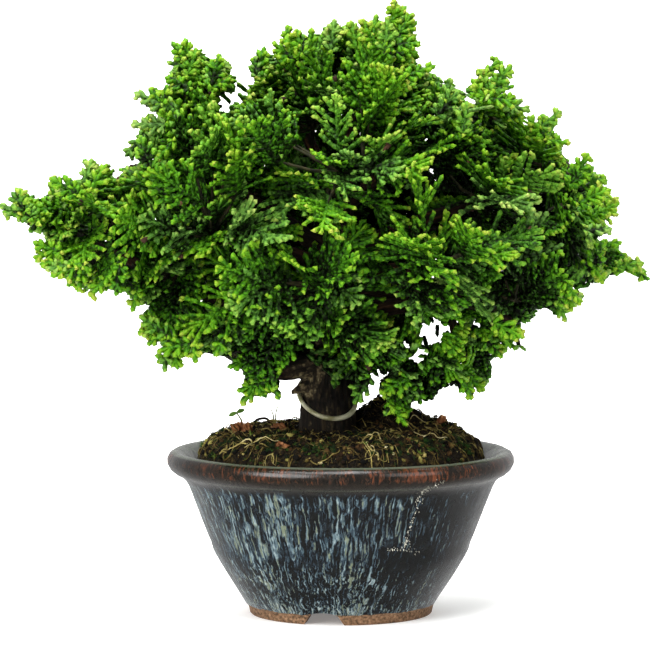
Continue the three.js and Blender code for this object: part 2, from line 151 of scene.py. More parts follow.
def grainMaterial(name, stops, scale, detail, surface, bump=None, tinted=False):
    # a dull matter with a fine grain, whose shade also varies with "tint" where it is tinted
    material, add = newMaterial(name)
    place = add("ShaderNodeTexCoord")
    grain = add("ShaderNodeTexNoise", {
        "Vector": place.outputs["Object"], "Scale": scale, "Detail": detail})
    shade = grain
    if tinted:
        tint = add("ShaderNodeAttribute", attribute_name="tint")
        both = add("ShaderNodeMath", {
            0: grain, 1: 0.6, 2: tint.outputs["Fac"]}, operation="MULTIPLY_ADD")
        shade = add("ShaderNodeMath", {0: both, 1: 0.3}, operation="SUBTRACT")
    ramp = add("ShaderNodeValToRGB", {"Fac": shade})
    fillRamp(ramp, stops)
    inputs = {"Base Color": ramp, **surface}
    if bump:
        inputs["Normal"] = add("ShaderNodeBump", {
            "Strength": bump[0], "Distance": bump[1], "Height": grain})
    finishMaterial(add, inputs)
    return material


def tintedMaterial(name, stops, scale, roughness, relief):
    surface = {"Roughness": roughness, "Specular IOR Level": 0.2}
    return grainMaterial(name, stops, scale, 4, surface, (0.7, relief), tinted=True)


def grow(name, mesh, tree, values):  # runs a tree on a mesh and keeps the result as a plain mesh
    host = bpy.data.objects.new(name + "Host", mesh)
    scene.collection.objects.link(host)
    modifier = host.modifiers.new("growth", "NODES")
    modifier.node_group = tree
    for item in tree.interface.items_tree:
        if item.in_out == "INPUT" and item.name in values:
            modifier[item.identifier] = values[item.name]
    graph = bpy.context.evaluated_depsgraph_get()
    plain = bpy.data.meshes.new_from_object(
        host.evaluated_get(graph), preserve_all_data_layers=True, depsgraph=graph)
    bpy.data.objects.remove(host)
    piece = bpy.data.objects.new(name, plain)
    scene.collection.objects.link(piece)
    return piece


def growthTree():  # stands a pattern on every point, and draws a tube along every line
    tree, add = newTree("growth", [
        ("Pattern", "Object"), ("Point material", "Material"), ("Line material", "Material"),
        ("Line sides", "Int"), ("Size jitter", "Float"), ("Seed", "Int")])
    given = add("NodeGroupInput")

    isPoint = add("GeometryNodeInputNamedAttribute", {"Name": "isPoint"}, data_type="BOOLEAN")
    split = add("GeometryNodeSeparateGeometry", {
        "Geometry": given.outputs["Geometry"], "Selection": isPoint.outputs["Attribute"]}, domain="POINT")
    heading = add("GeometryNodeInputNamedAttribute", {"Name": "headings"}, data_type="FLOAT_VECTOR")
    face = add("GeometryNodeInputNamedAttribute", {"Name": "faces"}, data_type="FLOAT_VECTOR")
    size = add("GeometryNodeInputNamedAttribute", {"Name": "size"}, data_type="FLOAT_VECTOR")
    aimed = add("FunctionNodeAlignRotationToVector", {"Vector": heading.outputs["Attribute"]}, axis="X")
    turned = add("FunctionNodeAlignRotationToVector", {
        "Rotation": aimed.outputs["Rotation"], "Vector": face.outputs["Attribute"]}, axis="Z", pivot_axis="X")
    least = add("ShaderNodeMath", {0: 1.0, 1: given.outputs["Size jitter"]}, operation="SUBTRACT")
    most = add("ShaderNodeMath", {0: 1.0, 1: given.outputs["Size jitter"]}, operation="ADD")
    jitter = add("FunctionNodeRandomValue", {
        2: least, 3: most, "Seed": given.outputs["Seed"]}, data_type="FLOAT")
    sized = add("ShaderNodeVectorMath", {0: size.outputs["Attribute"], "Scale": jitter.outputs[1]},
                operation="SCALE")
    pattern = add("GeometryNodeObjectInfo", {"Object": given.outputs["Pattern"]})
    copies = add("GeometryNodeInstanceOnPoints", {
        "Points": split.outputs["Selection"], "Instance": pattern.outputs["Geometry"],
        "Rotation": turned.outputs["Rotation"], "Scale": sized})
    solid = add("GeometryNodeRealizeInstances", {"Geometry": copies.outputs["Instances"]})
    leafy = add("GeometryNodeSetMaterial", {"Geometry": solid, "Material": given.outputs["Point material"]})
    girth = add("GeometryNodeInputNamedAttribute", {"Name": "girth"}, data_type="FLOAT")
    line = add("GeometryNodeMeshToCurve", {"Mesh": split.outputs["Inverted"]})
    ring = add("GeometryNodeCurvePrimitiveCircle", {"Resolution": given.outputs["Line sides"], "Radius": 1.0})
    tube = add("GeometryNodeCurveToMesh", {
        "Curve": line, "Profile Curve": ring, "Scale": girth, "Fill Caps": True})
    woody = add("GeometryNodeSetMaterial", {"Geometry": tube, "Material": given.outputs["Line material"]})
    both = add("GeometryNodeJoinGeometry")
    tree.links.new(leafy.outputs[0], both.inputs[0])
    tree.links.new(woody.outputs[0], both.inputs[0])
    smooth = add("GeometryNodeSetShadeSmooth", {"Geometry": both})
    add("NodeGroupOutput", {"Geometry": smooth})
    return tree


growth = None


def growPiece(name, pattern, pointMaterial, points, lineMaterial=None, lines=(), sides=5, jitter=0.08,
              seed=0):
    # points: places, headings, faces and sizes, then named values; lines: rows of places, radii and one tint
    global growth
    growth = growth or growthTree()
    count = len(points["places"])
    spots = [p for line in lines for p in line[0]]
    lineTints = [t for line in lines for t in [line[2]] * len(line[0])]
    edges, at = [], count
    for line, *_ in lines:
        edges += [(at + i, at + i + 1) for i in range(len(line) - 1)]
        at += len(line)
    more = len(spots)
    vertices = np.concatenate([np.reshape(points["places"], (-1, 3)), np.reshape(spots, (-1, 3))]) * mm
    mesh = plainMesh(name, vertices, [], edges)
    paint(mesh, "isPoint", "BOOLEAN", [True] * count + [False] * more)
    for key in ("headings", "faces"):
        paint(mesh, key, "FLOAT_VECTOR",
              np.concatenate([np.reshape(points[key], (-1, 3)), np.zeros((more, 3))]))
    paint(mesh, "size", "FLOAT_VECTOR",
          np.concatenate([np.reshape(points["sizes"], (-1, 3)), np.zeros((more, 3))]) * mm)
    for key in ("tint", "bloom"):
        if key in points:
            paint(mesh, key, "FLOAT", list(points[key]) + lineTints)
    paint(mesh, "girth", "FLOAT", [0] * count + [g * mm for line in lines for g in line[1]])
    piece = grow(name, mesh, growth, {
        "Pattern": pattern, "Point material": pointMaterial, "Line material": lineMaterial or pointMaterial,
        "Line sides": sides, "Size jitter": jitter, "Seed": seed})
    for unused in ("isPoint", "headings", "faces", "size", "girth"):
        if unused in piece.data.attributes:
            piece.data.attributes.remove(piece.data.attributes[unused])
    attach(piece, "root")
    return piece


def evaluated(piece):  # applies a piece's modifiers to its mesh
    graph = bpy.context.evaluated_depsgraph_get()
    mesh = bpy.data.meshes.new_from_object(piece.evaluated_get(graph))
    piece.modifiers.clear()
    piece.data = mesh
    return piece


def thickened(piece, thickness):  # a sheet as a closed shell
    shell = piece.modifiers.new("thickness", "SOLIDIFY")
    shell.thickness = thickness * mm
    return evaluated(piece)


def smoothCurve(path, t):  # centripetal Catmull-Rom, t from 0 to 1 over the whole path
    points = [Vector(p) for p in path]
    place = (len(points) - 1) * t
    k = min(int(place), len(points) - 2)
    w = place - k
    before = points[k - 1] if k > 0 else 2 * points[0] - points[1]
    after = points[k + 2] if k + 2 < len(points) else 2 * points[-1] - points[-2]
    a, b = points[k], points[k + 1]
    d0, d1, d2 = [max((q - p).length_squared, 1e-9) ** 0.25 for p, q in ((before, a), (a, b), (b, after))]
    t1 = ((a - before) / d0 - (b - before) / (d0 + d1) + (b - a) / d1) * d1
    t2 = ((b - a) / d1 - (after - a) / (d1 + d2) + (after - b) / d2) * d1
    return a + w * t1 + w * w * (3 * (b - a) - 2 * t1 - t2) + w ** 3 * (2 * (a - b) + t1 + t2)


# camera, light and floor
view = {"stand": (-6.4, -1400, 215), "aim": (-6.4, 0, 115.6), "lens": 194.3, "sensor": 36}
cameraData = bpy.data.cameras.new("camera")
cameraData.sensor_fit = "HORIZONTAL"
cameraData.sensor_width = view["sensor"]
cameraData.lens = view["lens"]
cameraData.clip_end = 20
camera = bpy.data.objects.new("camera", cameraData)
scene.collection.objects.link(camera)
camera.location = Vector(view["stand"]) * mm
camera.rotation_euler = (Vector(view["aim"]) - Vector(view["stand"])).to_track_quat("-Z", "Y").to_euler()
scene.camera = camera
scene.view_settings.view_transform = "Standard"

studio = {
    # name: place, aim, side, watts
    "overhead": ((-120, -300, 1200), (0, 0, 120), 1000, 36),
    "leftWindow": ((-1050, -1300, 700), (0, 0, 110), 1100, 33),
    "rightWindow": ((1200, -1100, 800), (0, 0, 110), 1000, 8),
    "backgroundWash": ((0, 700, 1700), (0, 1900, 300), 1800, 60),
}
for name, (place, aim, side, watts) in studio.items():
    data = bpy.data.lights.new(name, "AREA")
    data.shape = "SQUARE"
    data.size = side * mm
    data.energy = watts
    light = bpy.data.objects.new(name, data)
    scene.collection.objects.link(light)
    light.location = Vector(place) * mm
    light.rotation_euler = (Vector(aim) - Vector(place)).to_track_quat("-Z", "Y").to_euler()

air = {"seen": 1.0, "cast": 0.28, "mirrored": 0.7}  # the white room as seen, the light it casts, and in gloss
world = bpy.data.worlds.new("studioAir")
world.use_nodes = True
world.node_tree.nodes.clear()
addAir = partial(addNode, world.node_tree)
ray = addAir("ShaderNodeLightPath")
aim = addAir("ShaderNodeTexCoord")
aimParts = addAir("ShaderNodeSeparateXYZ", {0: aim.outputs["Generated"]})
behind = addAir("ShaderNodeMapRange", {  # the far wall is the bright one in the glaze
    "Value": aimParts.outputs[1], 1: 0.0, 2: 0.7, 3: air["cast"], 4: air["mirrored"]})
cast = addAir("ShaderNodeMapRange", {
    "Value": ray.outputs["Is Glossy Ray"], 3: air["cast"], 4: behind})
strength = addAir("ShaderNodeMapRange", {
    "Value": ray.outputs["Is Camera Ray"], 3: cast, 4: air["seen"]})
glow = addAir("ShaderNodeBackground", {"Color": (1, 1, 1, 1), "Strength": strength})
addAir("ShaderNodeOutputWorld", {"Surface": glow})
scene.world = world

sweep = {"half": 2600, "front": -1900, "back": 1500, "curve": 500, "top": 2600}


def buildSweep():  # paper background: flat floor that curves up behind
    steps = [(sweep["front"], 0), (sweep["back"], 0)]
    for k in range(1, 13):
        a = k / 12 * math.pi / 2
        steps.append((sweep["back"] + sweep["curve"] * math.sin(a), sweep["curve"] * (1 - math.cos(a))))
    steps.append((sweep["back"] + sweep["curve"], sweep["top"]))
    vertices = [(x * mm, y * mm, z * mm) for y, z in steps for x in (-sweep["half"], sweep["half"])]
    faces = [(2 * k, 2 * k + 1, 2 * k + 3, 2 * k + 2) for k in range(len(steps) - 1)]
    paper, add = newMaterial("matteBackgroundPaper")  # matte paper: no gloss, nearly white
    surface = add("ShaderNodeBsdfPrincipled", {
        "Base Color": linear("#f7f7f6"), "Roughness": 0.95, "Specular IOR Level": 0.1,
        "Emission Color": (1, 1, 1, 1), "Emission Strength": 0.2})
    side = add("ShaderNodeNewGeometry")
    clear = add("ShaderNodeBsdfTransparent")
    faced = add("ShaderNodeMixShader", {  # seen through from its back
        0: side.outputs["Backfacing"], 1: surface, 2: clear})
    add("ShaderNodeOutputMaterial", {"Surface": faced})
    floor = newPiece("paperSweep", plainMesh("paperSweep", vertices, faces), paper)
    floor.data.shade_smooth()
    floor.visible_glossy = False  # the glaze mirrors the room, not the paper


buildSweep()
print("stage: camera, light and paper ready")

# pot
potForm = {
    "segments": 216,
    "footInner": 30, "footOuter": 36.8, "underside": 5.6, "floor": 10, "drain": 8,
    "outside": [(36.6, 0.5), (36.9, 2), (37.3, 3.4), (38, 4.1), (39.3, 6.2), (40.8, 8.6), (43, 12),
                (45.2, 15.3),
                (47.2, 18.4), (50.2, 23.2), (51.6, 26), (52.4, 29), (53.6, 32), (54.7, 35), (56, 38.6),
                (57.4, 42.5),
                (58.8, 46), (60.2, 49.3), (61.3, 51.8), (62.6, 54)],
    "rim": [(64.4, 55.6), (66.7, 56.8), (68.6, 58.4), (69.7, 60.6), (69.6, 62.7), (68.6, 64.5), (66.8, 65.5),
            (64.6, 65.2), (62.4, 63.9), (60.4, 61.8), (58.8, 59)],
    "inside": [(57.2, 55.6), (53.4, 45), (49.6, 34), (45, 22.5), (39, 14), (34, 10)],
    "notches": 3, "notchTurn": -11, "notchWidth": 15.4, "notchHeight": 5.1,
}


def latheMesh(name, profile, segments):
    vertices, faces = [], []
    for k in range(segments):
        a = 2 * math.pi * k / segments
        vertices += [(r * math.cos(a) * mm, r * math.sin(a) * mm, z * mm) for r, z in profile]
    n = len(profile)
    for k in range(segments):
        j = (k + 1) % segments
        faces += [(k * n + i, j * n + i, j * n + (i + 1) % n, k * n + (i + 1) % n) for i in range(n)]
    return plainMesh(name, vertices, faces)


glazeForm = {
    # rust on the lip where the glaze broke: degrees from the front, half width, strength
    "rust": [(-49, 3, 0.7), (-36, 4, 0.8), (-26, 2.5, 0.9), (-19, 2.5, 1.0), (-9, 4, 0.5), (1, 2.5, 0.6),
             (10, 2, 0.8),
             (26, 8, 1.2), (45, 6, 0.5), (75, 12, 0.6), (110, 8, 1), (150, 14, 0.8), (-165, 5, 0.9),
             (-130, 12, 0.6),
             (-85, 9, 0.9)],
}


def glazeMaterial():
    # Stoneware with a rutile glaze over iron black, dipped and fired: glassy, and the pale glaze has run down
    # in threads. The lip breaks to rust where the glaze thins, and the foot is bare clay.
    material, add = newMaterial("rutileGlazedStoneware")

    def between(value, a, b, low=0.0, high=1.0):  # value from a to b gives low to high
        return add("ShaderNodeMapRange", {"Value": value, 1: a, 2: b, 3: low, 4: high}, clamp=True).outputs[0]

    def sum2(value, factor, other):
        return add("ShaderNodeMath", {0: value, 1: factor, 2: other}, operation="MULTIPLY_ADD").outputs[0]

    place = add("ShaderNodeTexCoord")
    parts = add("ShaderNodeSeparateXYZ", {0: place.outputs["Object"]})
    flat = add("ShaderNodeCombineXYZ", {0: parts, 1: parts.outputs[1]})
    around = add("ShaderNodeVectorMath", {0: flat}, operation="NORMALIZE")
    height = add("ShaderNodeMath", {0: parts.outputs[2], 1: 1000}, operation="MULTIPLY").outputs[0]
    # a slow wander, so that the threads curl as they run
    slow = add("ShaderNodeVectorMath", {0: place.outputs["Object"], 1: (260, 260, 150)}, operation="MULTIPLY")
    wander = add("ShaderNodeTexNoise", {"Vector": slow, "Scale": 1, "Detail": 3})
    drift = add("ShaderNodeVectorMath", {
        0: wander.outputs["Color"], "Scale": between(height, 34, 10, 0.04, 0.1)}, operation="SCALE")
    curled = add("ShaderNodeVectorMath", {0: around, 1: drift}, operation="ADD")
    level = add("ShaderNodeCombineXYZ", {2: height})

    def threads(width, run, offset, detail):  # threads about width wide and run long
        wide = add("ShaderNodeVectorMath", {0: curled, "Scale": 52 / width}, operation="SCALE")
        tall = add("ShaderNodeVectorMath", {0: level, "Scale": 1 / run}, operation="SCALE")
        both = add("ShaderNodeVectorMath", {0: wide, 1: tall}, operation="ADD")
        moved = add("ShaderNodeVectorMath", {0: both, 1: (offset, offset, offset)}, operation="ADD")
        return add("ShaderNodeTexNoise", {
            "Vector": moved, "Scale": 1, "Detail": detail, "Roughness": 0.6}).outputs["Fac"]

    fine, broad, long = threads(0.75, 5.5, 0, 3), threads(1.6, 10, 19, 2), threads(1.0, 18, 31, 2)
    upper = add("ShaderNodeMix", {0: 0.42, 2: fine, 3: broad}, data_type="FLOAT").outputs[0]
    low = between(height, 33, 20)
    run = add("ShaderNodeMix", {0: low, 2: upper, 3: long}, data_type="FLOAT").outputs[0]
    # the pale glaze lies thin on the right of the front, and in slow patches all round
    side = add("ShaderNodeVectorMath", {0: around, 1: (0.93, -0.36, 0)}, operation="DOT_PRODUCT")
    patchy = add("ShaderNodeTexNoise", {
        "Vector": place.outputs["Object"], "Scale": 48, "Detail": 1}).outputs["Fac"]
    v = sum2(between(height, 58.5, 52.5), 0.22, sum2(run, 1, -0.232))
    v = sum2(low, -0.05, v)
    v = sum2(between(height, 11, 6.5), 0.08, v)
    v = sum2(between(side.outputs["Value"], 0.4, 0.85), -0.085, v)
    v = sum2(patchy, 0.16, sum2(v, 1, -0.08))
    glaze = add("ShaderNodeValToRGB", {"Fac": v})
    fillRamp(glaze, [(0.42, "#0f100f"), (0.465, "#141a20"), (0.505, "#26333c"), (0.55, "#47585f"),
                     (0.62, "#748284"), (0.74, "#989f9a")])
    olive = between(threads(1.3, 8, 77, 2), 0.49, 0.62, 0, 0.8)
    lit = between(v, 0.5, 0.54)
    body = add("ShaderNodeMix", {
        0: add("ShaderNodeMath", {0: olive, 1: lit}, operation="MULTIPLY").outputs[0],
        6: glaze, 7: linear("#5c6046")}, data_type="RGBA")
    # under the lip: darker and browner than the wall
    underLip = add("ShaderNodeMix", {
        0: between(height, 53.5, 57), 6: body.outputs[2], 7: linear("#1b1712")}, data_type="RGBA")
    # lip: brown black, with rust in short upright dashes
    share = between(add("ShaderNodeTexNoise", {
        "Vector": around, "Scale": 9, "Detail": 2}).outputs["Fac"], 0.52, 0.72, 0, 0.6)
    for angle, half, strength in glazeForm["rust"]:
        a = math.radians(angle)
        near = add("ShaderNodeVectorMath", {
            0: around, 1: (math.sin(a), -math.cos(a), 0)}, operation="DOT_PRODUCT")
        patch = between(near.outputs["Value"], math.cos(math.radians(half * 1.5)),
                        math.cos(math.radians(half * 0.4)))
        share = sum2(patch, strength, share)
    dashes = threads(0.8, 3.2, 13, 3)
    rust = add("ShaderNodeValToRGB", {"Fac": sum2(share, 0.115, dashes)})
    fillRamp(rust, [(0.46, "#100d09"), (0.58, "#1e160f"), (0.67, "#3a2012"), (0.79, "#5b2e18")])
    withLip = add("ShaderNodeMix", {
        0: between(height, 58.8, 60.2), 6: underLip.outputs[2], 7: rust}, data_type="RGBA")
    # painted highlight: a thin pale grey green band along the lip's crest; the lip's inside is painted pale
    # grey green too
    reach = add("ShaderNodeVectorMath", {0: flat}, operation="LENGTH").outputs["Value"]
    paintedCrestHighlight = add("ShaderNodeMath", {
        0: between(height, 64.7, 65.3), 1: 0.9}, operation="MULTIPLY")
    inner = add("ShaderNodeMath", {
        0: between(reach, 0.0668, 0.0655), 1: between(height, 56, 58)}, operation="MULTIPLY")
    crestHighlightAndInside = add("ShaderNodeMath", {0: paintedCrestHighlight, 1: inner}, operation="MAXIMUM")
    withCrestHighlight = add("ShaderNodeMix", {
        0: crestHighlightAndInside, 6: withLip.outputs[2], 7: linear("#626959")}, data_type="RGBA")
    # bare clay below the glaze's wavy edge
    edge = add("ShaderNodeTexNoise", {"Vector": around, "Scale": 7, "Detail": 3})
    edgeLine = sum2(edge.outputs["Fac"], 1.8, 3.3)
    overEdge = add("ShaderNodeMath", {0: height, 1: edgeLine}, operation="GREATER_THAN")
    outer = add("ShaderNodeMath", {0: reach, 1: 0.0355}, operation="GREATER_THAN")
    raised = add("ShaderNodeMath", {0: height, 1: 9}, operation="GREATER_THAN")
    both = add("ShaderNodeMath", {0: overEdge, 1: outer}, operation="MULTIPLY")
    glazed = add("ShaderNodeMath", {0: raised, 1: both}, operation="MAXIMUM").outputs[0]
    grit = add("ShaderNodeTexNoise", {"Vector": place.outputs["Object"], "Scale": 900, "Detail": 3})
    clay = add("ShaderNodeValToRGB", {"Fac": grit})
    fillRamp(clay, [(0.3, "#35271a"), (0.45, "#664c34"), (0.6, "#836349"), (0.75, "#a0805f")])
    colour = add("ShaderNodeMix", {
        0: glazed, 6: clay, 7: withCrestHighlight.outputs[2]}, data_type="RGBA")
    wear = add("ShaderNodeTexNoise", {"Vector": place.outputs["Object"], "Scale": 140, "Detail": 3})
    shine = between(wear.outputs["Fac"], 0.35, 0.65, 0.16, 0.3)
    rough = add("ShaderNodeMix", {0: glazed, 2: 0.92, 3: shine}, data_type="FLOAT").outputs[0]
    relief = add("ShaderNodeMix", {0: glazed, 2: grit, 3: v}, data_type="FLOAT").outputs[0]
    bump = add("ShaderNodeBump", {"Strength": 0.35, "Distance": 0.0004, "Height": relief})
    finishMaterial(add, {
        "Base Color": colour.outputs[2], "Roughness": rough, "IOR": 1.5, "Specular IOR Level": 0.4,
        "Normal": bump})
    return material


def buildPot():
    form = potForm
    profile = ([(form["drain"], form["underside"]), (form["footInner"] - 1, form["underside"]),
                (form["footInner"], 0.4), (form["footInner"] + 0.5, 0), (form["footOuter"] - 0.7, 0)]
               + form["outside"] + form["rim"] + form["inside"] + [(form["drain"], form["floor"])])
    mesh = latheMesh("pot", profile, form["segments"])
    for vertex in mesh.vertices:  # a hand-thrown wall: slow waves under the glaze
        r = math.hypot(vertex.co.x, vertex.co.y)
        if r > 0.037 and vertex.co.z > 0.004:
            push = noise.noise(Vector((vertex.co.x * 38, vertex.co.y * 38, vertex.co.z * 60))) * 0.0005
            vertex.co.x *= 1 + push / r
            vertex.co.y *= 1 + push / r
    pot = newPiece("glazedPot", mesh, glazeMaterial())
    cutters = []
    for k in range(form["notches"]):
        half, height = form["notchWidth"] / 2, form["notchHeight"]
        arch = [(-half - 1.2, -1.2), (half + 1.2, -1.2)]
        arch += [((half - 1.2) * math.cos(a), height / 2 + height / 2 * math.sin(a))
                 for a in np.linspace(0, math.pi / 2, 9)]
        arch += [(-x, z) for x, z in reversed(arch[2:-1])]
        turn = Matrix.Rotation(math.radians(form["notchTurn"] + 120 * k), 3, "Z")
        vertices = [turn @ Vector((x, y, z)) * mm for y in (-24, -46) for x, z in arch]
        n = len(arch)
        faces = [tuple(range(n)), tuple(reversed(range(n, 2 * n)))]
        faces += [(i, i + n, (i + 1) % n + n, (i + 1) % n) for i in range(n)]
        cutter = newPiece("notchCutter", faceOut(plainMesh("notchCutter", vertices, faces)))
        modifier = pot.modifiers.new("notch", "BOOLEAN")
        modifier.operation = "DIFFERENCE"
        modifier.solver = "EXACT"
        modifier.object = cutter
        cutters.append(cutter)
    evaluated(pot)
    for cutter in cutters:
        bpy.data.objects.remove(cutter)
    pot.data.shade_smooth()
    pot.data.set_sharp_from_angle(angle=0.75)
    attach(pot, "root")
    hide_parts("pot")


buildPot()
print("pot: thrown, notched and glazed")

# soil
soilForm = {
    "edgeRadius": 57.6, "edgeHeight": 61, "crownHeight": 73, "rings": 58, "segments": 190,
    "mounds": [(18, 16, 11.8, 13.5), (44, 16, 4.5, 14), (49, 14, -2.6, 11)],
    "crumb": 1.5, "round": 0.55,
    "wall": [(57, 55.8), (53, 45), (44.6, 22.5), (33.6, 10.4), (12, 10.4)],  # down the inside of the pot
}


def soilHeight(x, y):
    form = soilForm
    r = min(math.hypot(x, y) / form["edgeRadius"], 1)
    z = form["edgeHeight"] + (form["crownHeight"] - form["edgeHeight"]) * (1 - r ** 8) ** form["round"]
    for mx, my, height, spread in form["mounds"]:
        z += height * math.exp(-((x - mx) ** 2 + (y - my) ** 2) / spread ** 2) * (1 - r ** 6)
    return z + math.sin(x * 0.55 + y * 0.21) * math.sin(y * 0.47 - x * 0.18) * (1 - r ** 8)


def soilTop(x, y):  # with the crumbly relief
    rough = noise.fractal(Vector((x / 4.2, y / 4.2, 3.1)), 0.9, 2.1, 3)
    return soilHeight(x, y) + soilForm["crumb"] * rough


def soilMaterial():
    # Akadama, peat and fine roots, damp: dark brown crumbs with straw brown grains, no gloss.
    material, add = newMaterial("dampPottingSoil")
    place = add("ShaderNodeTexCoord")
    crumbs = add("ShaderNodeTexVoronoi", {"Vector": place.outputs["Object"], "Scale": 900})
    clods = add("ShaderNodeTexNoise", {
        "Vector": place.outputs["Object"], "Scale": 420, "Detail": 5, "Roughness": 0.65})
    ramp = add("ShaderNodeValToRGB", {"Fac": clods})
    fillRamp(ramp, [(0.32, "#040302"), (0.45, "#100b05"), (0.56, "#271f0f"), (0.7, "#504325")])
    bump = add("ShaderNodeBump", {
        "Strength": 0.9, "Distance": 0.0012, "Height": crumbs})
    finishMaterial(add, {
        "Base Color": ramp, "Roughness": 0.95, "Specular IOR Level": 0.2, "Normal": bump})
    return material


def buildSoil():
    form = soilForm
    vertices, faces = [(0, 0, soilTop(0, 0) * mm)], []
    segments, rings = form["segments"], form["rings"]
    for ring in range(1, rings + 1):
        r = form["edgeRadius"] * ring / rings
        for k in range(segments):
            a = 2 * math.pi * k / segments
            x, y = r * math.cos(a), r * math.sin(a)
            vertices.append((x * mm, y * mm, soilTop(x, y) * mm))
    for r, z in form["wall"]:
        angles = [2 * math.pi * k / segments for k in range(segments)]
        vertices += [(r * math.cos(a) * mm, r * math.sin(a) * mm, z * mm) for a in angles]
    faces += [(0, 1 + k, 1 + (k + 1) % segments) for k in range(segments)]
    for ring in range(rings + 4):
        a, b = 1 + ring * segments, 1 + (ring + 1) * segments
        faces += [(a + k, b + k, b + (k + 1) % segments, a + (k + 1) % segments) for k in range(segments)]
    last = 1 + (rings + 4) * segments
    faces.append(tuple(last + k for k in reversed(range(segments))))
    soil = newPiece("soilMound", plainMesh("soilMound", vertices, faces), soilMaterial())
    soil.data.shade_smooth()
    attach(soil, "root")
    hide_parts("soil")


buildSoil()
print("soil: mound laid")

# wood
trunkForm = {
    "path": [(-4, 0, 48), (-5.2, 0, 76), (-5.6, 0, 86), (-5.2, 1, 97), (-5.2, 2, 109), (-3, 3, 121),
             (2, 4, 137),
             (1, 4, 153), (0, 4, 169), (4, 3, 189), (8, 2, 205)],
    "radii": [8.6, 11.4, 10.4, 9.9, 9.6, 8.4, 6.8, 5.4, 4.4, 3.2, 2.2],
    "snag": [(-8, -2, 93.5), (-14.5, -4.5, 91.3), (-20, -6, 88.8)], "snagRadii": [3.2, 2.6, 0.9],
    # where the old bark is weathered pale, and painted lighter on the trunk's lit left front: x, z, half
    # width, half height
    "weatheredAndLit": [(-10.8, 106, 2.8, 5.5), (-13, 93, 3.4, 9), (-9, 99, 2.6, 5), (-18, 98, 5, 3)],
    "voxel": 0.9, "furrow": 0.6,
}
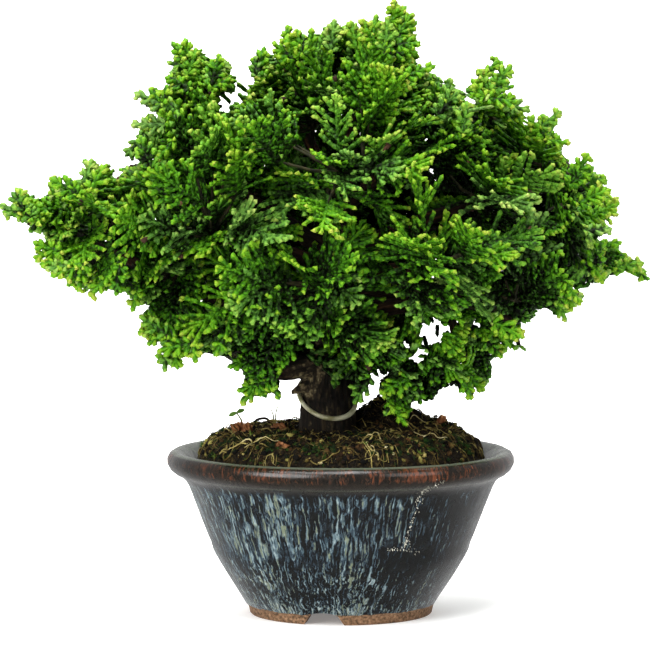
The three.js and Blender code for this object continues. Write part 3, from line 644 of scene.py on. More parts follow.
# Each limb: its path, its radii, and its sprays as (station on the limb, tip, tip, ...).
limbs = {
    "left_low": ([(-4, 2, 112), (-28, -10, 121), (-56, -24, 131), (-82, -38, 143), (-98, -47, 151)],
                 [4.6, 4, 3.2, 2.4, 1.6],
                 [(1, (-128, -58, 166), (-116, -66, 151), (-108, -46, 174)),
                  (0.86, (-97, -28, 181), (-84, -12, 172)),
                  (0.78, (-102, -45, 131), (-115, -34, 141)),
                  (0.62, (-81, -85, 163), (-73, -82, 144)),
                  (0.5, (-95, 10, 148), (-104, 24, 163))]),
    "left_drop": ([(-4, 1, 99), (-14, -4, 100), (-23, -8, 98), (-34, -15, 100), (-46, -23, 106)],
                  [5.2, 5, 4.2, 2.2, 1.5],
                  [(1, (-79, -26, 119), (-74, -14, 102)),
                   (0.84, (-60, -57, 110), (-48, -73, 121)),
                   (0.6, (-44, -22, 86), (-27, -2, 88)),
                   (0.92, (-70, 25, 124), (-57, 31, 107))]),
    "left_high": ([(2, 4, 140), (-22, 4, 156), (-44, 4, 171), (-57, 4, 186), (-61, 6, 201)],
                  [4.2, 3.6, 3, 2.4, 1.6],
                  [(1, (-63, 5, 227), (-46, 12, 218)),
                   (0.86, (-82, 0, 205), (-74, -14, 215)),
                   (0.7, (-84, -20, 190), (-88, -8, 175)),
                   (0.5, (-68, -52, 177), (-52, -60, 187)),
                   (0.64, (-40, -10, 201), (-34, -42, 184)),
                   (0.78, (-79, 40, 195), (-62, 45, 209))]),
    "crown_left": ([(0, 4, 164), (-8, 1, 180), (-15, -1, 194), (-18, -1, 206)],
                   [3.4, 2.8, 2.2, 1.5],
                   [(1, (-21, 15, 229), (-9, -5, 234)),
                    (0.7, (-33, -2, 221), (-38, -20, 206)),
                    (0.5, (-16, -50, 208), (-3, -52, 216))]),
    "crown": ([(4, 3, 189), (8, 2, 205)],
              [2.4, 2.1],
              [(1, (4, 10, 237), (-4, 32, 227), (13, 40, 231)),
               (0.6, (25, 0, 242), (33, -8, 228)),
               (0.2, (13, -46, 217), (26, -50, 207))]),
    "front_up": ([(1, 4, 158), (2, -16, 167), (3, -34, 173), (2, -50, 177)],
                 [3, 2.4, 2, 1.4],
                 [(1, (1, -85, 172), (-8, -81, 188)),
                  (0.8, (31, -77, 182), (17, -76, 197)),
                  (0.66, (-22, -72, 180), (-29, -83, 164))]),
    "right_top": ([(1, 4, 162), (17, 4, 176), (34, 4, 187), (47, 4, 197)],
                  [3.2, 2.6, 2.1, 1.5],
                  [(1, (61, 5, 221), (72, 0, 208)),
                   (0.8, (42, -24, 209), (50, 22, 214)),
                   (0.5, (37, -60, 191), (54, -46, 197))]),
    "right_mid": ([(2, 4, 144), (26, 0, 155), (50, -3, 163), (72, -1, 168), (86, 3, 171)],
                  [3.8, 3.2, 2.6, 2, 1.5],
                  [(1, (97, 20, 186), (110, 15, 171)),
                   (0.84, (85, 0, 200), (78, -24, 192)),
                   (0.9, (110, -12, 156), (102, -36, 150)),
                   (0.5, (62, -62, 181), (68, -71, 169)),
                   (0.6, (92, 45, 172), (74, 46, 192))]),
    "right_low": ([(-2, 3, 124), (22, 8, 128), (50, 17, 128), (76, 27, 129), (96, 35, 131)],
                  [4.2, 3.5, 2.8, 2.2, 1.5],
                  [(1, (127, 55, 135), (116, 32, 142)),
                   (0.8, (108, 16, 127), (96, 2, 118))]),
    "right_under": ([(-4, 2, 117), (20, -4, 123), (42, -10, 125), (56, -12, 122), (68, -12, 118)],
                    [3.8, 3.4, 3, 2.4, 1.6],
                    [(1, (77, -4, 105), (64, -36, 109)),
                     (0.8, (86, -50, 141), (99, -30, 139))]),
    "right_drop": ([(42, -10, 125), (45, -9, 114), (45, -8, 106)],
                   [2.2, 1.8, 1.4],
                   [(0.7, (61, -12, 92), (52, -40, 102), (48, 28, 94)),
                    (1, (27, -26, 80), (18, -4, 89))]),
    "right_front": ([(0, 3, 133), (14, -18, 138), (28, -38, 141), (38, -54, 143)],
                    [3.4, 2.8, 2.2, 1.5],
                    [(1, (50, -85, 159), (68, -76, 149)),
                     (0.86, (24, -93, 157), (38, -94, 143)),
                     (0.66, (31, -80, 124), (46, -82, 130))]),
    "front": ([(-4, 2, 122), (-9, -18, 127), (-13, -38, 129), (-14, -56, 129)],
              [3.4, 2.8, 2.2, 1.5],
              [(1, (3, -96, 149), (-17, -95, 150)),
               (0.84, (-36, -92, 132), (-46, -84, 137)),
               (0.62, (16, -70, 114), (-2, -80, 121), (-24, -75, 116))]),
    "left_front": ([(0, 3, 136), (-18, -20, 145), (-34, -40, 150), (-46, -54, 152)],
                   [3.2, 2.6, 2.1, 1.5],
                   [(1, (-53, -86, 150), (-66, -80, 157), (-46, -79, 170))]),
    "sprig": ([(-3, 2, 117), (3, -13, 117)],
              [2, 1.5],
              [(1, (5, -36, 88), (19, -32, 101))]),
    "back_low": ([(-4, 2, 118), (-2, 24, 124), (2, 44, 128), (4, 60, 130)],
                 [3.4, 2.8, 2.2, 1.5],
                 [(1, (-1, 96, 148), (22, 92, 134)),
                  (0.75, (-26, 90, 134), (-13, 84, 116), (16, 76, 106))]),
    "back_left": ([(-2, 3, 130), (-22, 26, 140), (-40, 44, 146), (-54, 56, 150)],
                  [3.4, 2.8, 2.2, 1.5],
                  [(1, (-77, 74, 166), (-60, 89, 152)),
                   (0.7, (-92, 50, 148), (-84, 60, 130), (-54, 72, 122))]),
    "back_right": ([(2, 4, 138), (22, 27, 146), (40, 45, 151), (54, 57, 154)],
                   [3.4, 2.8, 2.2, 1.5],
                   [(1, (62, 90, 158), (80, 72, 172)),
                    (0.8, (94, 58, 150), (76, 74, 134))]),
    "back_up": ([(1, 4, 156), (-3, 26, 170), (-5, 44, 179), (-5, 56, 184)],
                [3.2, 2.6, 2.1, 1.5],
                [(1, (-14, 88, 188), (8, 90, 200)),
                 (0.8, (-44, 70, 186), (-30, 72, 206), (-18, 54, 221)),
                 (0.6, (28, 74, 184), (38, 60, 204))]),
}


def barkMaterial():
    # Cypress bark: thin stringy strips, grey brown over reddish brown, dull.
    material, add = newMaterial("stringyCypressBark")
    fibre = add("ShaderNodeAttribute", attribute_name="fibre")
    place = add("ShaderNodeTexCoord")
    strips = add("ShaderNodeTexNoise", {
        "Vector": fibre.outputs["Vector"], "Scale": 1, "Detail": 5, "Roughness": 0.62})
    blotches = add("ShaderNodeTexNoise", {"Vector": fibre.outputs["Vector"], "Scale": 0.42, "Detail": 4})
    ramp = add("ShaderNodeValToRGB", {"Fac": strips})
    fillRamp(ramp, [(0.3, "#040302"), (0.44, "#0e0a06"), (0.56, "#1c150c"), (0.7, "#3a301e")])
    # grey plates of old bark, flecked with green, on the thick wood only; on the trunk's left front they are
    # also painted light where the left lamp falls
    young = add("ShaderNodeAttribute", attribute_name="young")
    plates = add("ShaderNodeMapRange", {
        "Value": add("ShaderNodeMath", {
            0: add("ShaderNodeAttribute", attribute_name="weatherAndLight").outputs["Fac"], 1: 0.2,
            2: blotches}, operation="MULTIPLY_ADD").outputs[0], 1: 0.58, 2: 0.7, 3: 0, 4: 0.85}, clamp=True)
    old = add("ShaderNodeMath", {
        0: plates, 1: add("ShaderNodeMath", {
            0: 1.0, 1: young.outputs["Fac"]}, operation="SUBTRACT").outputs[0]}, operation="MULTIPLY")
    flecks = add("ShaderNodeTexNoise", {"Vector": place.outputs["Object"], "Scale": 520, "Detail": 3})
    grey = add("ShaderNodeValToRGB", {"Fac": flecks})
    fillRamp(grey, [(0.36, "#120e08"), (0.48, "#382f1e"), (0.58, "#675a3f"), (0.7, "#8f845e")])
    aged = add("ShaderNodeMix", {
        0: old, 6: ramp, 7: grey}, data_type="RGBA")
    # young wood is redder
    reddish = add("ShaderNodeMix", {
        0: 1.0, 6: ramp, 7: linear("#ffc9a8")}, data_type="RGBA", blend_type="MULTIPLY")
    paler = add("ShaderNodeVectorMath", {0: reddish.outputs[2], "Scale": 1.9}, operation="SCALE")
    colour = add("ShaderNodeMix", {
        0: young.outputs["Fac"], 6: aged.outputs[2], 7: paler}, data_type="RGBA")
    bump = add("ShaderNodeBump", {
        "Strength": 0.9, "Distance": 0.0008, "Height": strips})
    finishMaterial(add, {
        "Base Color": colour.outputs[2], "Roughness": 0.88, "Specular IOR Level": 0.3, "Normal": bump})
    return material


def tubeParts(path, radii, sides, step, first):  # a closed tapered tube, and its centre line
    length = sum((Vector(b) - Vector(a)).length for a, b in zip(path, path[1:]))
    rings = max(3, int(length / step))
    line = [smoothCurve(path, k / rings) for k in range(rings + 1)]
    vertices, faces, centres = [], [], []
    across = None
    for k, point in enumerate(line):
        way = (line[min(k + 1, rings)] - line[max(k - 1, 0)]).normalized()
        across = (way.orthogonal() if across is None else across - way * across.dot(way)).normalized()
        other = way.cross(across)
        span = k / rings * (len(radii) - 1)
        i = min(int(span), len(radii) - 2)
        radius = radii[i] + (radii[i + 1] - radii[i]) * (span - i)
        centres.append((point, way, radius, length * k / rings))
        for s in range(sides):
            a = 2 * math.pi * s / sides
            vertices.append(point + radius * (across * math.cos(a) + other * math.sin(a)))
    for k in range(rings):
        for s in range(sides):
            a, b = first + k * sides, first + (k + 1) * sides
            faces.append((a + s, a + (s + 1) % sides, b + (s + 1) % sides, b + s))
    faces.append(tuple(first + s for s in reversed(range(sides))))
    faces.append(tuple(first + rings * sides + s for s in range(sides)))
    return vertices, faces, centres


bark = barkMaterial()


def buildWood():
    form = trunkForm
    vertices, faces, centres = [], [], []
    tubes = [(form["path"], form["radii"]), (form["snag"], form["snagRadii"])]
    tubes += [(path, radii) for path, radii, _ in limbs.values()]
    for path, radii in tubes:
        v, f, c = tubeParts(path, radii, 16, 2.5, len(vertices))
        vertices += v
        faces += f
        if path is form["snag"]:
            snagFirst, snagLast = len(centres), len(centres) + len(c)
        centres += c
    wood = newPiece("trunkAndLimbs", plainMesh("trunkAndLimbs", [v * mm for v in vertices], faces), bark)
    remesh = wood.modifiers.new("grow together", "REMESH")
    remesh.mode = "VOXEL"
    remesh.voxel_size = form["voxel"] * mm
    relax = wood.modifiers.new("relax", "SMOOTH")
    relax.iterations = 4
    evaluated(wood)
    mesh = wood.data
    count = len(mesh.vertices)
    co = np.empty(count * 3, np.float32)
    mesh.vertices.foreach_get("co", co)
    co = co.reshape(-1, 3) / mm
    middles = np.array([c[0] for c in centres])
    ways = np.array([c[1] for c in centres])
    radii = np.array([c[2] for c in centres])
    runs = np.array([c[3] for c in centres])
    onSnag = np.zeros(len(centres), bool)
    onSnag[snagFirst:snagLast] = True
    nearest = np.empty(count, int)
    for start in range(0, count, 4000):
        block = co[start:start + 4000]
        distance = np.linalg.norm(block[:, None] - middles[None], axis=2) / radii[None]
        nearest[start:start + 4000] = distance.argmin(1)
    offset = co - middles[nearest]
    along = (offset * ways[nearest]).sum(1)
    radial = offset - ways[nearest] * along[:, None]
    fibre = radial / 1.3 + ways[nearest] * ((runs[nearest] + along) / 13)[:, None]
    radius = np.linalg.norm(radial, axis=1)
    outward = radial / np.maximum(radius, 0.1)[:, None]
    furrow = np.array([noise.fractal(Vector(f), 0.8, 2.0, 3) for f in fibre])
    depth = form["furrow"] * np.clip(radii[nearest] / 8, 0.2, 1.2)
    co = co + outward * (furrow * depth)[:, None]
    mesh.vertices.foreach_set("co", (co * mm).astype(np.float32).ravel())
    paint(mesh, "fibre", "FLOAT_VECTOR", fibre)
    snag = onSnag[nearest]
    # the patches on the trunk's left front are painted lighter where the light falls, as well as weathered
    weatherAndLight = np.zeros(count)
    for x, z, across, high in form["weatheredAndLit"]:
        away = ((co[:, 0] - x) / across) ** 2 + ((co[:, 2] - z) / high) ** 2
        weatherAndLight = np.maximum(weatherAndLight, np.clip(1.6 - away, 0, 1) * (co[:, 1] < 2))
    paint(mesh, "weatherAndLight", "FLOAT", np.where(snag, 1, weatherAndLight))
    paint(mesh, "young", "FLOAT", np.where(snag, 0, np.clip((4.9 - radii[nearest]) / 2, 0, 1)))
    mesh.shade_smooth()
    mesh.materials.clear()
    mesh.materials.append(bark)
    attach(wood, "root")
    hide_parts("trunk_and_limbs")


buildWood()
print("wood: trunk and limbs grown")

# tie wire and drain net
wireForm = {"ring": 11.4, "wire": 0.9, "centre": (-5.6, -0.2, 86.8), "tilt": 33, "roll": 0.2, "turns": 120,
            "sides": 14}


def buildWire():
    form = wireForm
    # Steel wire in a skin of matte PVC: pale grey green, soft shine.
    skin = grainMaterial("coatedTieWire", [(0.35, "#8a865c"), (0.5, "#bebb99"), (0.7, "#d8d7bb")], 160, 4,
                         {"Roughness": 0.45})
    tilt = math.radians(form["tilt"])
    vertices, faces = [], []
    turns, sides = form["turns"], form["sides"]
    for k in range(turns):
        a = 2 * math.pi * k / turns
        for s in range(sides):
            b = 2 * math.pi * s / sides
            r = form["ring"] + form["wire"] * math.cos(b)
            x, y, z = r * math.cos(a), r * math.sin(a) / math.cos(tilt), form["wire"] * math.sin(b)
            ahead = y * math.cos(tilt) - z * math.sin(tilt)
            up = y * math.sin(tilt) + z * math.cos(tilt) - form["roll"] * x
            middle = form["centre"]
            vertices.append(Vector((x + middle[0], ahead + middle[1], up + middle[2])) * mm)
    for k in range(turns):
        for s in range(sides):
            a, b = k * sides, (k + 1) % turns * sides
            faces.append((a + s, b + s, b + (s + 1) % sides, a + (s + 1) % sides))
    wire = newPiece("tieWireLoop", plainMesh("tieWireLoop", vertices, faces), skin)
    wire.data.shade_smooth()
    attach(wire, "root")
    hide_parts("tie_wire")


def dressNet():
    # Moulded polyethylene netting: black, slightly waxy.
    plastic = grainMaterial("polyethyleneNetting", [(0.3, "#121312"), (0.7, "#242523")], 700, 2,
                            {"Roughness": 0.5})
    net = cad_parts["drain_mesh"]
    net.data.materials.clear()
    net.data.materials.append(plastic)


buildWire()
dressNet()
print("wire and net: done")

dressForm = {
    "seed": 11, "barkSeed": 8, "reach": 57, "trunk": (-5, 0, 12.5),
    "crumbs": 2600, "tufts": 1250, "strands": 130, "threads": 850, "fines": 260,
    # moss grows in patches: x, y, half width
    "moss": [(-44, -24, 12), (-28, -42, 11), (-8, -48, 8), (18, -46, 10), (34, -36, 7), (46, -20, 8),
             (-22, -20, 8), (10, -24, 9), (-30, 30, 16), (18, 38, 15), (44, 14, 9), (-48, 8, 8),
             (0, 20, 8)],
    "barkBits": [(-41.5, 2, 5, 30), (-39, -3, 5, 110), (-37.5, 6, 4.5, 70), (-40.5, 8, 5, 20),
                 (-36, 0, 4.5, 150), (-38.5, 12, 4.5, 95), (-42, -4, 4.5, 60), (-37.5, -8, 4, 40),
                 (-25, 3, 4.5, 100), (-23.5, -2, 3.6, 60), (-23, -44, 3.6, 100), (28, -34, 4, 140),
                 (40, 8, 5, 10), (3, 38, 4.5, 50), (8, 44, 5, 120)],
    "seedling": (-40.8, 20), "loop": (-32.3, 32), "hair": (-26.8, 30),
}


def groundNormal(x, y):
    return Vector((soilTop(x - 1.5, y) - soilTop(x + 1.5, y), soilTop(x, y - 1.5) - soilTop(x, y + 1.5),
                   3)).normalized()


def groundSpots(rng, count,
                patches=None):  # places on the soil, clear of the trunk and thicker on the steep edge
    form, found = dressForm, []
    while len(found) < count:
        if patches:
            x, y, half = patches[rng.integers(len(patches))]
            x, y = x + rng.normal(0, half * 0.5), y + rng.normal(0, half * 0.5)
        else:
            r, a = form["reach"] * rng.random() ** 0.4, rng.uniform(0, 2 * math.pi)
            x, y = r * math.cos(a), r * math.sin(a)
        tx, ty, clear = form["trunk"]
        if math.hypot(x, y) < form["reach"] and math.hypot(x - tx, y - ty) > clear:
            found.append((x, y))
    return found


def lumpMesh():  # a crumb: a small stone-like lump with 20 faces
    bm = bmesh.new()
    bmesh.ops.create_icosphere(bm, subdivisions=1, radius=1)
    for vertex in bm.verts:
        vertex.co *= 1 + 0.9 * noise.noise(vertex.co * 1.7)
    return meshOf("lump", bm)


def tuftMesh():  # a moss shoot: six narrow leaves round a point
    vertices, faces = [], []
    for k in range(6):
        a, lean = 2.4 * k, 0.3 + 0.13 * k
        out = Vector((math.cos(a) * math.sin(lean), math.sin(a) * math.sin(lean), math.cos(lean)))
        side = out.cross(Vector((0, 0, 1))).normalized() * 0.14
        n = len(vertices)
        vertices += [side, side * -1, side.cross(out), out * (0.75 + 0.05 * (k % 4))]
        faces += [(n, n + 1, n + 2), (n, n + 3, n + 1), (n + 1, n + 3, n + 2), (n + 2, n + 3, n)]
    return faceOut(plainMesh("tuft", vertices, faces))


def strand(rng, x, y, length, rise, girth, steps, tint):  # a curly root that creeps over the soil
    line, radii, turn = [], [], rng.uniform(0, 2 * math.pi)
    bend = rng.normal(0, 0.25)
    for k in range(steps):
        u = k / (steps - 1)
        lift = rise * math.sin(math.pi * u) + 0.25
        if math.hypot(x, y) > dressForm["reach"]:
            turn = math.atan2(-y, -x) + rng.normal(0, 0.4)
        line.append((x, y, soilTop(x, y) + lift))
        radii.append(girth * (1 - 0.6 * u))
        bend += rng.normal(0, 0.3)
        bend *= 0.8
        turn += bend
        x += math.cos(turn) * length / steps
        y += math.sin(turn) * length / steps
    return line, radii, tint


def dressSoil():
    form = dressForm
    rng = np.random.default_rng(form["seed"])
    # Crumbs of akadama and peat: porous, dull, dark brown to straw.
    crumbMatter = tintedMaterial("peatAndAkadamaCrumbs", [
        (0, "#040302"), (0.3, "#0f0b05"), (0.5, "#281a0c"), (0.66, "#4a3319"), (0.8, "#5c5226"),
        (1, "#a39a52")], 700, 0.95, 0.0006)
    # Fine roots and dry moss stems: straw brown to pale straw, fibrous.
    rootMatter = tintedMaterial("driedRootFibres", [
        (0, "#0b0803"), (0.3, "#261c0a"), (0.55, "#5b4c23"), (0.8, "#a39456"), (1, "#dccfa0")], 500, 0.8,
        0.0002)
    # Living moss: thin wet leaves, deep green with yellow green tips.
    mossMatter = tintedMaterial("livingMoss", [
        (0, "#060e03"), (0.3, "#102307"), (0.6, "#23400e"), (0.85, "#47621b"), (1, "#7b8a35")], 300, 0.7,
        0.0002)
    lump, tuft = newPiece("lumpPattern", lumpMesh()), newPiece("tuftPattern", tuftMesh())

    def laid(spots, low, high, flat, sink, tints):
        places, headings, faces, sizes = [], [], [], []
        for x, y in spots:
            up = (groundNormal(x, y) + Vector(rng.normal(0, 0.25, 3))).normalized()
            size = low + (high - low) * rng.random() ** 2.6
            heading = up.orthogonal()
            heading.rotate(Matrix.Rotation(rng.uniform(0, 6.28), 3, up))
            places.append((x, y, soilTop(x, y) + sink * size))
            headings.append(heading)
            faces.append(up)
            sizes.append((size * rng.uniform(0.8, 1.4), size, size * flat))
        return {"places": places, "headings": headings, "faces": faces, "sizes": sizes,
                "tint": np.clip(rng.normal(*tints, len(spots)), 0, 1)}

    crumbs = growPiece("soilCrumbs", lump, crumbMatter, laid(
        groundSpots(rng, form["crumbs"]), 0.3, 1.35, 0.8, 0.2, (0.42, 0.27)), seed=3)
    moss = growPiece("mossTufts", tuft, mossMatter, laid(
        groundSpots(rng, form["tufts"], form["moss"]), 1.1, 3.0, 1, 0.05, (0.4, 0.2)), seed=4, jitter=0.2)
    lines = [strand(rng, x, y, rng.uniform(7, 20), rng.uniform(0.2, 1.9), rng.uniform(0.2, 0.4), 12,
                    rng.uniform(0.3, 0.9))
             for x, y in groundSpots(rng, form["strands"])]
    roots = growPiece("rootStrands", lump, rootMatter, laid(
        groundSpots(rng, form["fines"]), 0.3, 0.9, 0.6, 0.3, (0.7, 0.15)), rootMatter, lines, sides=5, seed=5)
    lines = [strand(rng, x, y, rng.uniform(4, 13), rng.uniform(0.1, 1.6), rng.uniform(0.11, 0.2), 6,
                    rng.uniform(0.15, 0.8))
             for x, y in groundSpots(rng, form["threads"])]
    hairs = growPiece("rootThreads", lump, rootMatter, laid(
        groundSpots(rng, 40), 0.3, 0.7, 0.6, 0.3, (0.3, 0.15)), rootMatter, lines, sides=3, seed=5)
    for pattern in (lump, tuft):
        bpy.data.objects.remove(pattern)
    print(f"soil: dressed with {triangles((crumbs, moss, roots, hairs))} triangles")


def buildChips():
    # Flakes of red brown bark on the soil: dull, with a paler broken face.
    matter = tintedMaterial("redBarkFlakes", [
        (0, "#22100a"), (0.4, "#553019"), (0.7, "#8a5a38"), (1, "#b58c66")], 420, 0.9, 0.0005)
    rng = np.random.default_rng(dressForm["barkSeed"])
    bm = bmesh.new()
    for x, y, length, turn in dressForm["barkBits"]:
        up = (groundNormal(x, y) + Vector((0, -0.5, 0)) + Vector(rng.normal(0, 0.4, 3))).normalized()
        across = up.orthogonal()
        across.rotate(Matrix.Rotation(math.radians(turn), 3, up))
        frameOf = Matrix((across, up.cross(across), up)).transposed()
        made = bmesh.ops.create_grid(bm, x_segments=7, y_segments=4, size=0.5)["verts"]
        for vertex in made:
            u, v = vertex.co.x, vertex.co.y
            ragged = 1 + 0.5 * noise.noise(Vector((u * 3 + x, v * 3 + y, 0)))
            curl = 1.2 * v * v + 0.25 * noise.noise(Vector((u * 5, v * 5, x)))
            spot = frameOf @ Vector((u * length * ragged, v * length * 0.42 * ragged, curl))
            vertex.co = (spot + Vector((x, y, soilTop(x, y) + 1.2))) * mm
    chips = thickened(newPiece("barkFlakes", meshOf("barkFlakes", bm), matter), 0.8)
    paint(chips.data, "tint", "FLOAT", [0.35 + 0.5 * rng.random() for _ in chips.data.vertices])
    chips.data.shade_smooth()
    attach(chips, "root")


def buildSeedling():  # a weed with two leaves, a loop of dark root and a pale hair
    stops = [(0, "#130d07"), (0.3, "#1d1509"), (0.6, "#5c6128"), (1, "#8f8f58")]
    stemMatter = tintedMaterial("seedlingStem", stops, 400, 0.7, 0.0001)
    vertices, faces = [], []

    def tube(points, radii, sides):
        v, f, _ = tubeParts(points, radii, sides, 0.8, len(vertices))
        vertices.extend(v)
        faces.extend(f)

    x, y = dressForm["seedling"]
    z = soilTop(x, y)
    tube([(x + 0.6, y, z - 1), (x + 0.5, y, z + 2.6), (x - 0.3, y - 0.3, z + 4.2), (x - 1.4, y - 0.5, z + 6)],
         [0.45, 0.42, 0.36, 0.32], 6)
    stem = len(vertices)
    x, y = dressForm["loop"]
    z = soilTop(x, y)
    tube([(x - 3.2, y, z - 1), (x - 2.6, y, z + 1.1), (x, y - 0.5, z + 2.2), (x + 2.3, y - 0.6, z + 1.9),
          (x + 3.2, y, z - 1)],
         [0.6, 0.6, 0.56, 0.54, 0.5], 6)
    loop = len(vertices)
    x, y = dressForm["hair"]
    z = soilTop(x, y)
    tube([(x, y, z - 1), (x + 0.3, y, z + 4), (x + 0.9, y - 0.5, z + 6.5), (x + 2.6, y - 1, z + 9)],
         [0.3, 0.28, 0.24, 0.16], 5)
    tube([(x - 0.4, y, z - 1), (x - 0.8, y, z + 3.5), (x - 2, y - 0.5, z + 6.6)], [0.32, 0.3, 0.2], 5)
    mesh = plainMesh("weedAndRootLoop", [v * mm for v in vertices], faces)
    piece = newPiece("weedAndRootLoop", mesh, stemMatter)
    tints = [0 if stem <= k < loop else 0.55 + 0.3 * noise.noise(v) for k, v in enumerate(vertices)]
    paint(mesh, "tint", "FLOAT", tints)
    mesh.shade_smooth()
    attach(piece, "root")
    # Seed leaves: thin, smooth, fresh green.
    leafMatter = tintedMaterial(
        "seedLeaves", [(0, "#29441a"), (0.5, "#4c7026"), (1, "#86994a")], 250, 0.5, 0.0001)
    x, y = dressForm["seedling"]
    top = Vector((x - 1.4, y - 0.5, soilTop(x, y) + 6))
    bm = bmesh.new()
    for heading, rise, length in ((195, -0.25, 3.6), (20, 0.5, 3.6)):
        way = Vector((math.cos(math.radians(heading)), math.sin(math.radians(heading)) * 0.6,
                      rise)).normalized()
        side = way.cross(Vector((0, -0.8, 0.6))).normalized()
        up = side.cross(way)
        for vertex in bmesh.ops.create_grid(bm, x_segments=6, y_segments=4, size=0.5)["verts"]:
            u, v = vertex.co.x + 0.5, vertex.co.y * 2
            width = 0.3 * length * math.sin(math.pi * min(1, 0.08 + 0.9 * u)) ** 0.8
            vertex.co = (top + way * u * length + side * v * width + up * (0.3 * v * v - 0.9 * u * u)) * mm
    leaves = thickened(newPiece("seedLeaves", meshOf("seedLeaves", bm), leafMatter), 0.25)
    paint(leaves.data, "tint", "FLOAT", [0.5] * len(leaves.data.vertices))
    leaves.data.shade_smooth()
    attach(leaves, "root")


dressSoil()
buildChips()
buildSeedling()
print("soil: crumbs, moss, roots, flakes and weed laid")

# mineral specks that a dried drip left on the glaze
speckForm = {
    # the drip's path on the front of the pot: x and z
    "path": [(39, 59), (33, 56.5), (30.5, 54), (28.5, 47), (26, 38), (24, 31.5)],
    "foot": [(18, 32), (24, 31.5), (31, 30)],
    "count": 170, "sizes": (0.07, 0.22), "seed": 21, "onPath": 0.82, "spread": (0.25, 1.3),
}


def onWall(x, z):  # the wall's surface on the front side
    rings = sorted(potForm["outside"] + potForm["rim"][:4], key=lambda p: p[1])
    r = float(np.interp(z, [p[1] for p in rings], [p[0] for p in rings])) + 0.05
    return Vector((x, -math.sqrt(max(r * r - x * x, 0)), z))


def buildSpecks():
    # Lime and salts left where water ran: chalky white grains with a yellow one among them.
    matter = tintedMaterial("limeSpecks", [(0, "#6f6b5a"), (0.5, "#a9a798"), (1, "#d9d8cf")], 900, 0.85,
                            0.0001)
    form = speckForm
    rng = np.random.default_rng(form["seed"])
    closest, extra = form["spread"]
    points = {key: [] for key in ("places", "headings", "faces", "sizes", "tint")}
    for k in range(form["count"]):
        path = form["path"] if rng.random() < form["onPath"] else form["foot"]
        p = smoothCurve([(x, 0, z) for x, z in path], rng.random())
        spread = closest + extra * rng.random() ** 2
        place = onWall(p.x + rng.normal(0, spread), p.z + rng.normal(0, spread * 0.6))
        out = Vector((place.x, place.y, 0)).normalized()
        size = rng.uniform(*form["sizes"])
        points["places"].append(place)
        points["headings"].append((0, 0, 1))
        points["faces"].append(out)
        points["sizes"].append((size * rng.uniform(1, 2.2), size, size * 0.5))
        points["tint"].append(rng.uniform(0.2, 0.8))
    lump = newPiece("lumpPattern", lumpMesh())
    specks = growPiece("limeSpecks", lump, matter, points, seed=6)
    bpy.data.objects.remove(lump)


buildSpecks()
print("pot: specks left by a drip")

# foliage
rules = {  # the sprays' own rule, as the solids were grown by it
    "mostLength": 42, "heartStation": 0.3, "heartLeast": 12, "sideTurns": (62, -62, 110, -110, 85, -85),
    "sideLength": 35, "sideScales": (1, 0.85, 0.7), "tipScales": (1, 0.85, 0.7, 0.55),
    "rolls": (0, 25, -25, 50, -50, 75, -75),
    "tipLobes": ((0.22, 70, 0.46), (0.42, 56, 0.5), (0.66, 38, 0.36)),
    "sideLobes": ((0.26, 66, 0.46), (0.54, 44, 0.44)),
    "rib": 1.2, "lobeWidth": 0.12, "ragged": 0.24,
    "tipSeed": (7919, 104729), "sideSeed": (15485863, 32452843), "match": 0.35,
}
frondForm = {  # a frond's fingers run out to an ellipse round its axis
    "start": 0.06, "step": 2.8, "shoot": 4.7, "pitch": 2.8, "middle": 0.46, "long": 0.56, "wide": 0.43,
    "spread": (64, 26), "curl": 16, "lift": (6, 12), "nubShare": 0.45, "nub": 2.9, "nubAngle": 40,
    "seed": 1000, "halfWidth": 1.1, "halfThick": 0.92, "bright": 5, "end": 0.92, "wander": (0.06, 0.08),
    "widths": (0.88, 1.06), "reach": (0.78, 1.1), "vary": (0.85, 1.15), "nubWidth": 0.86,
}
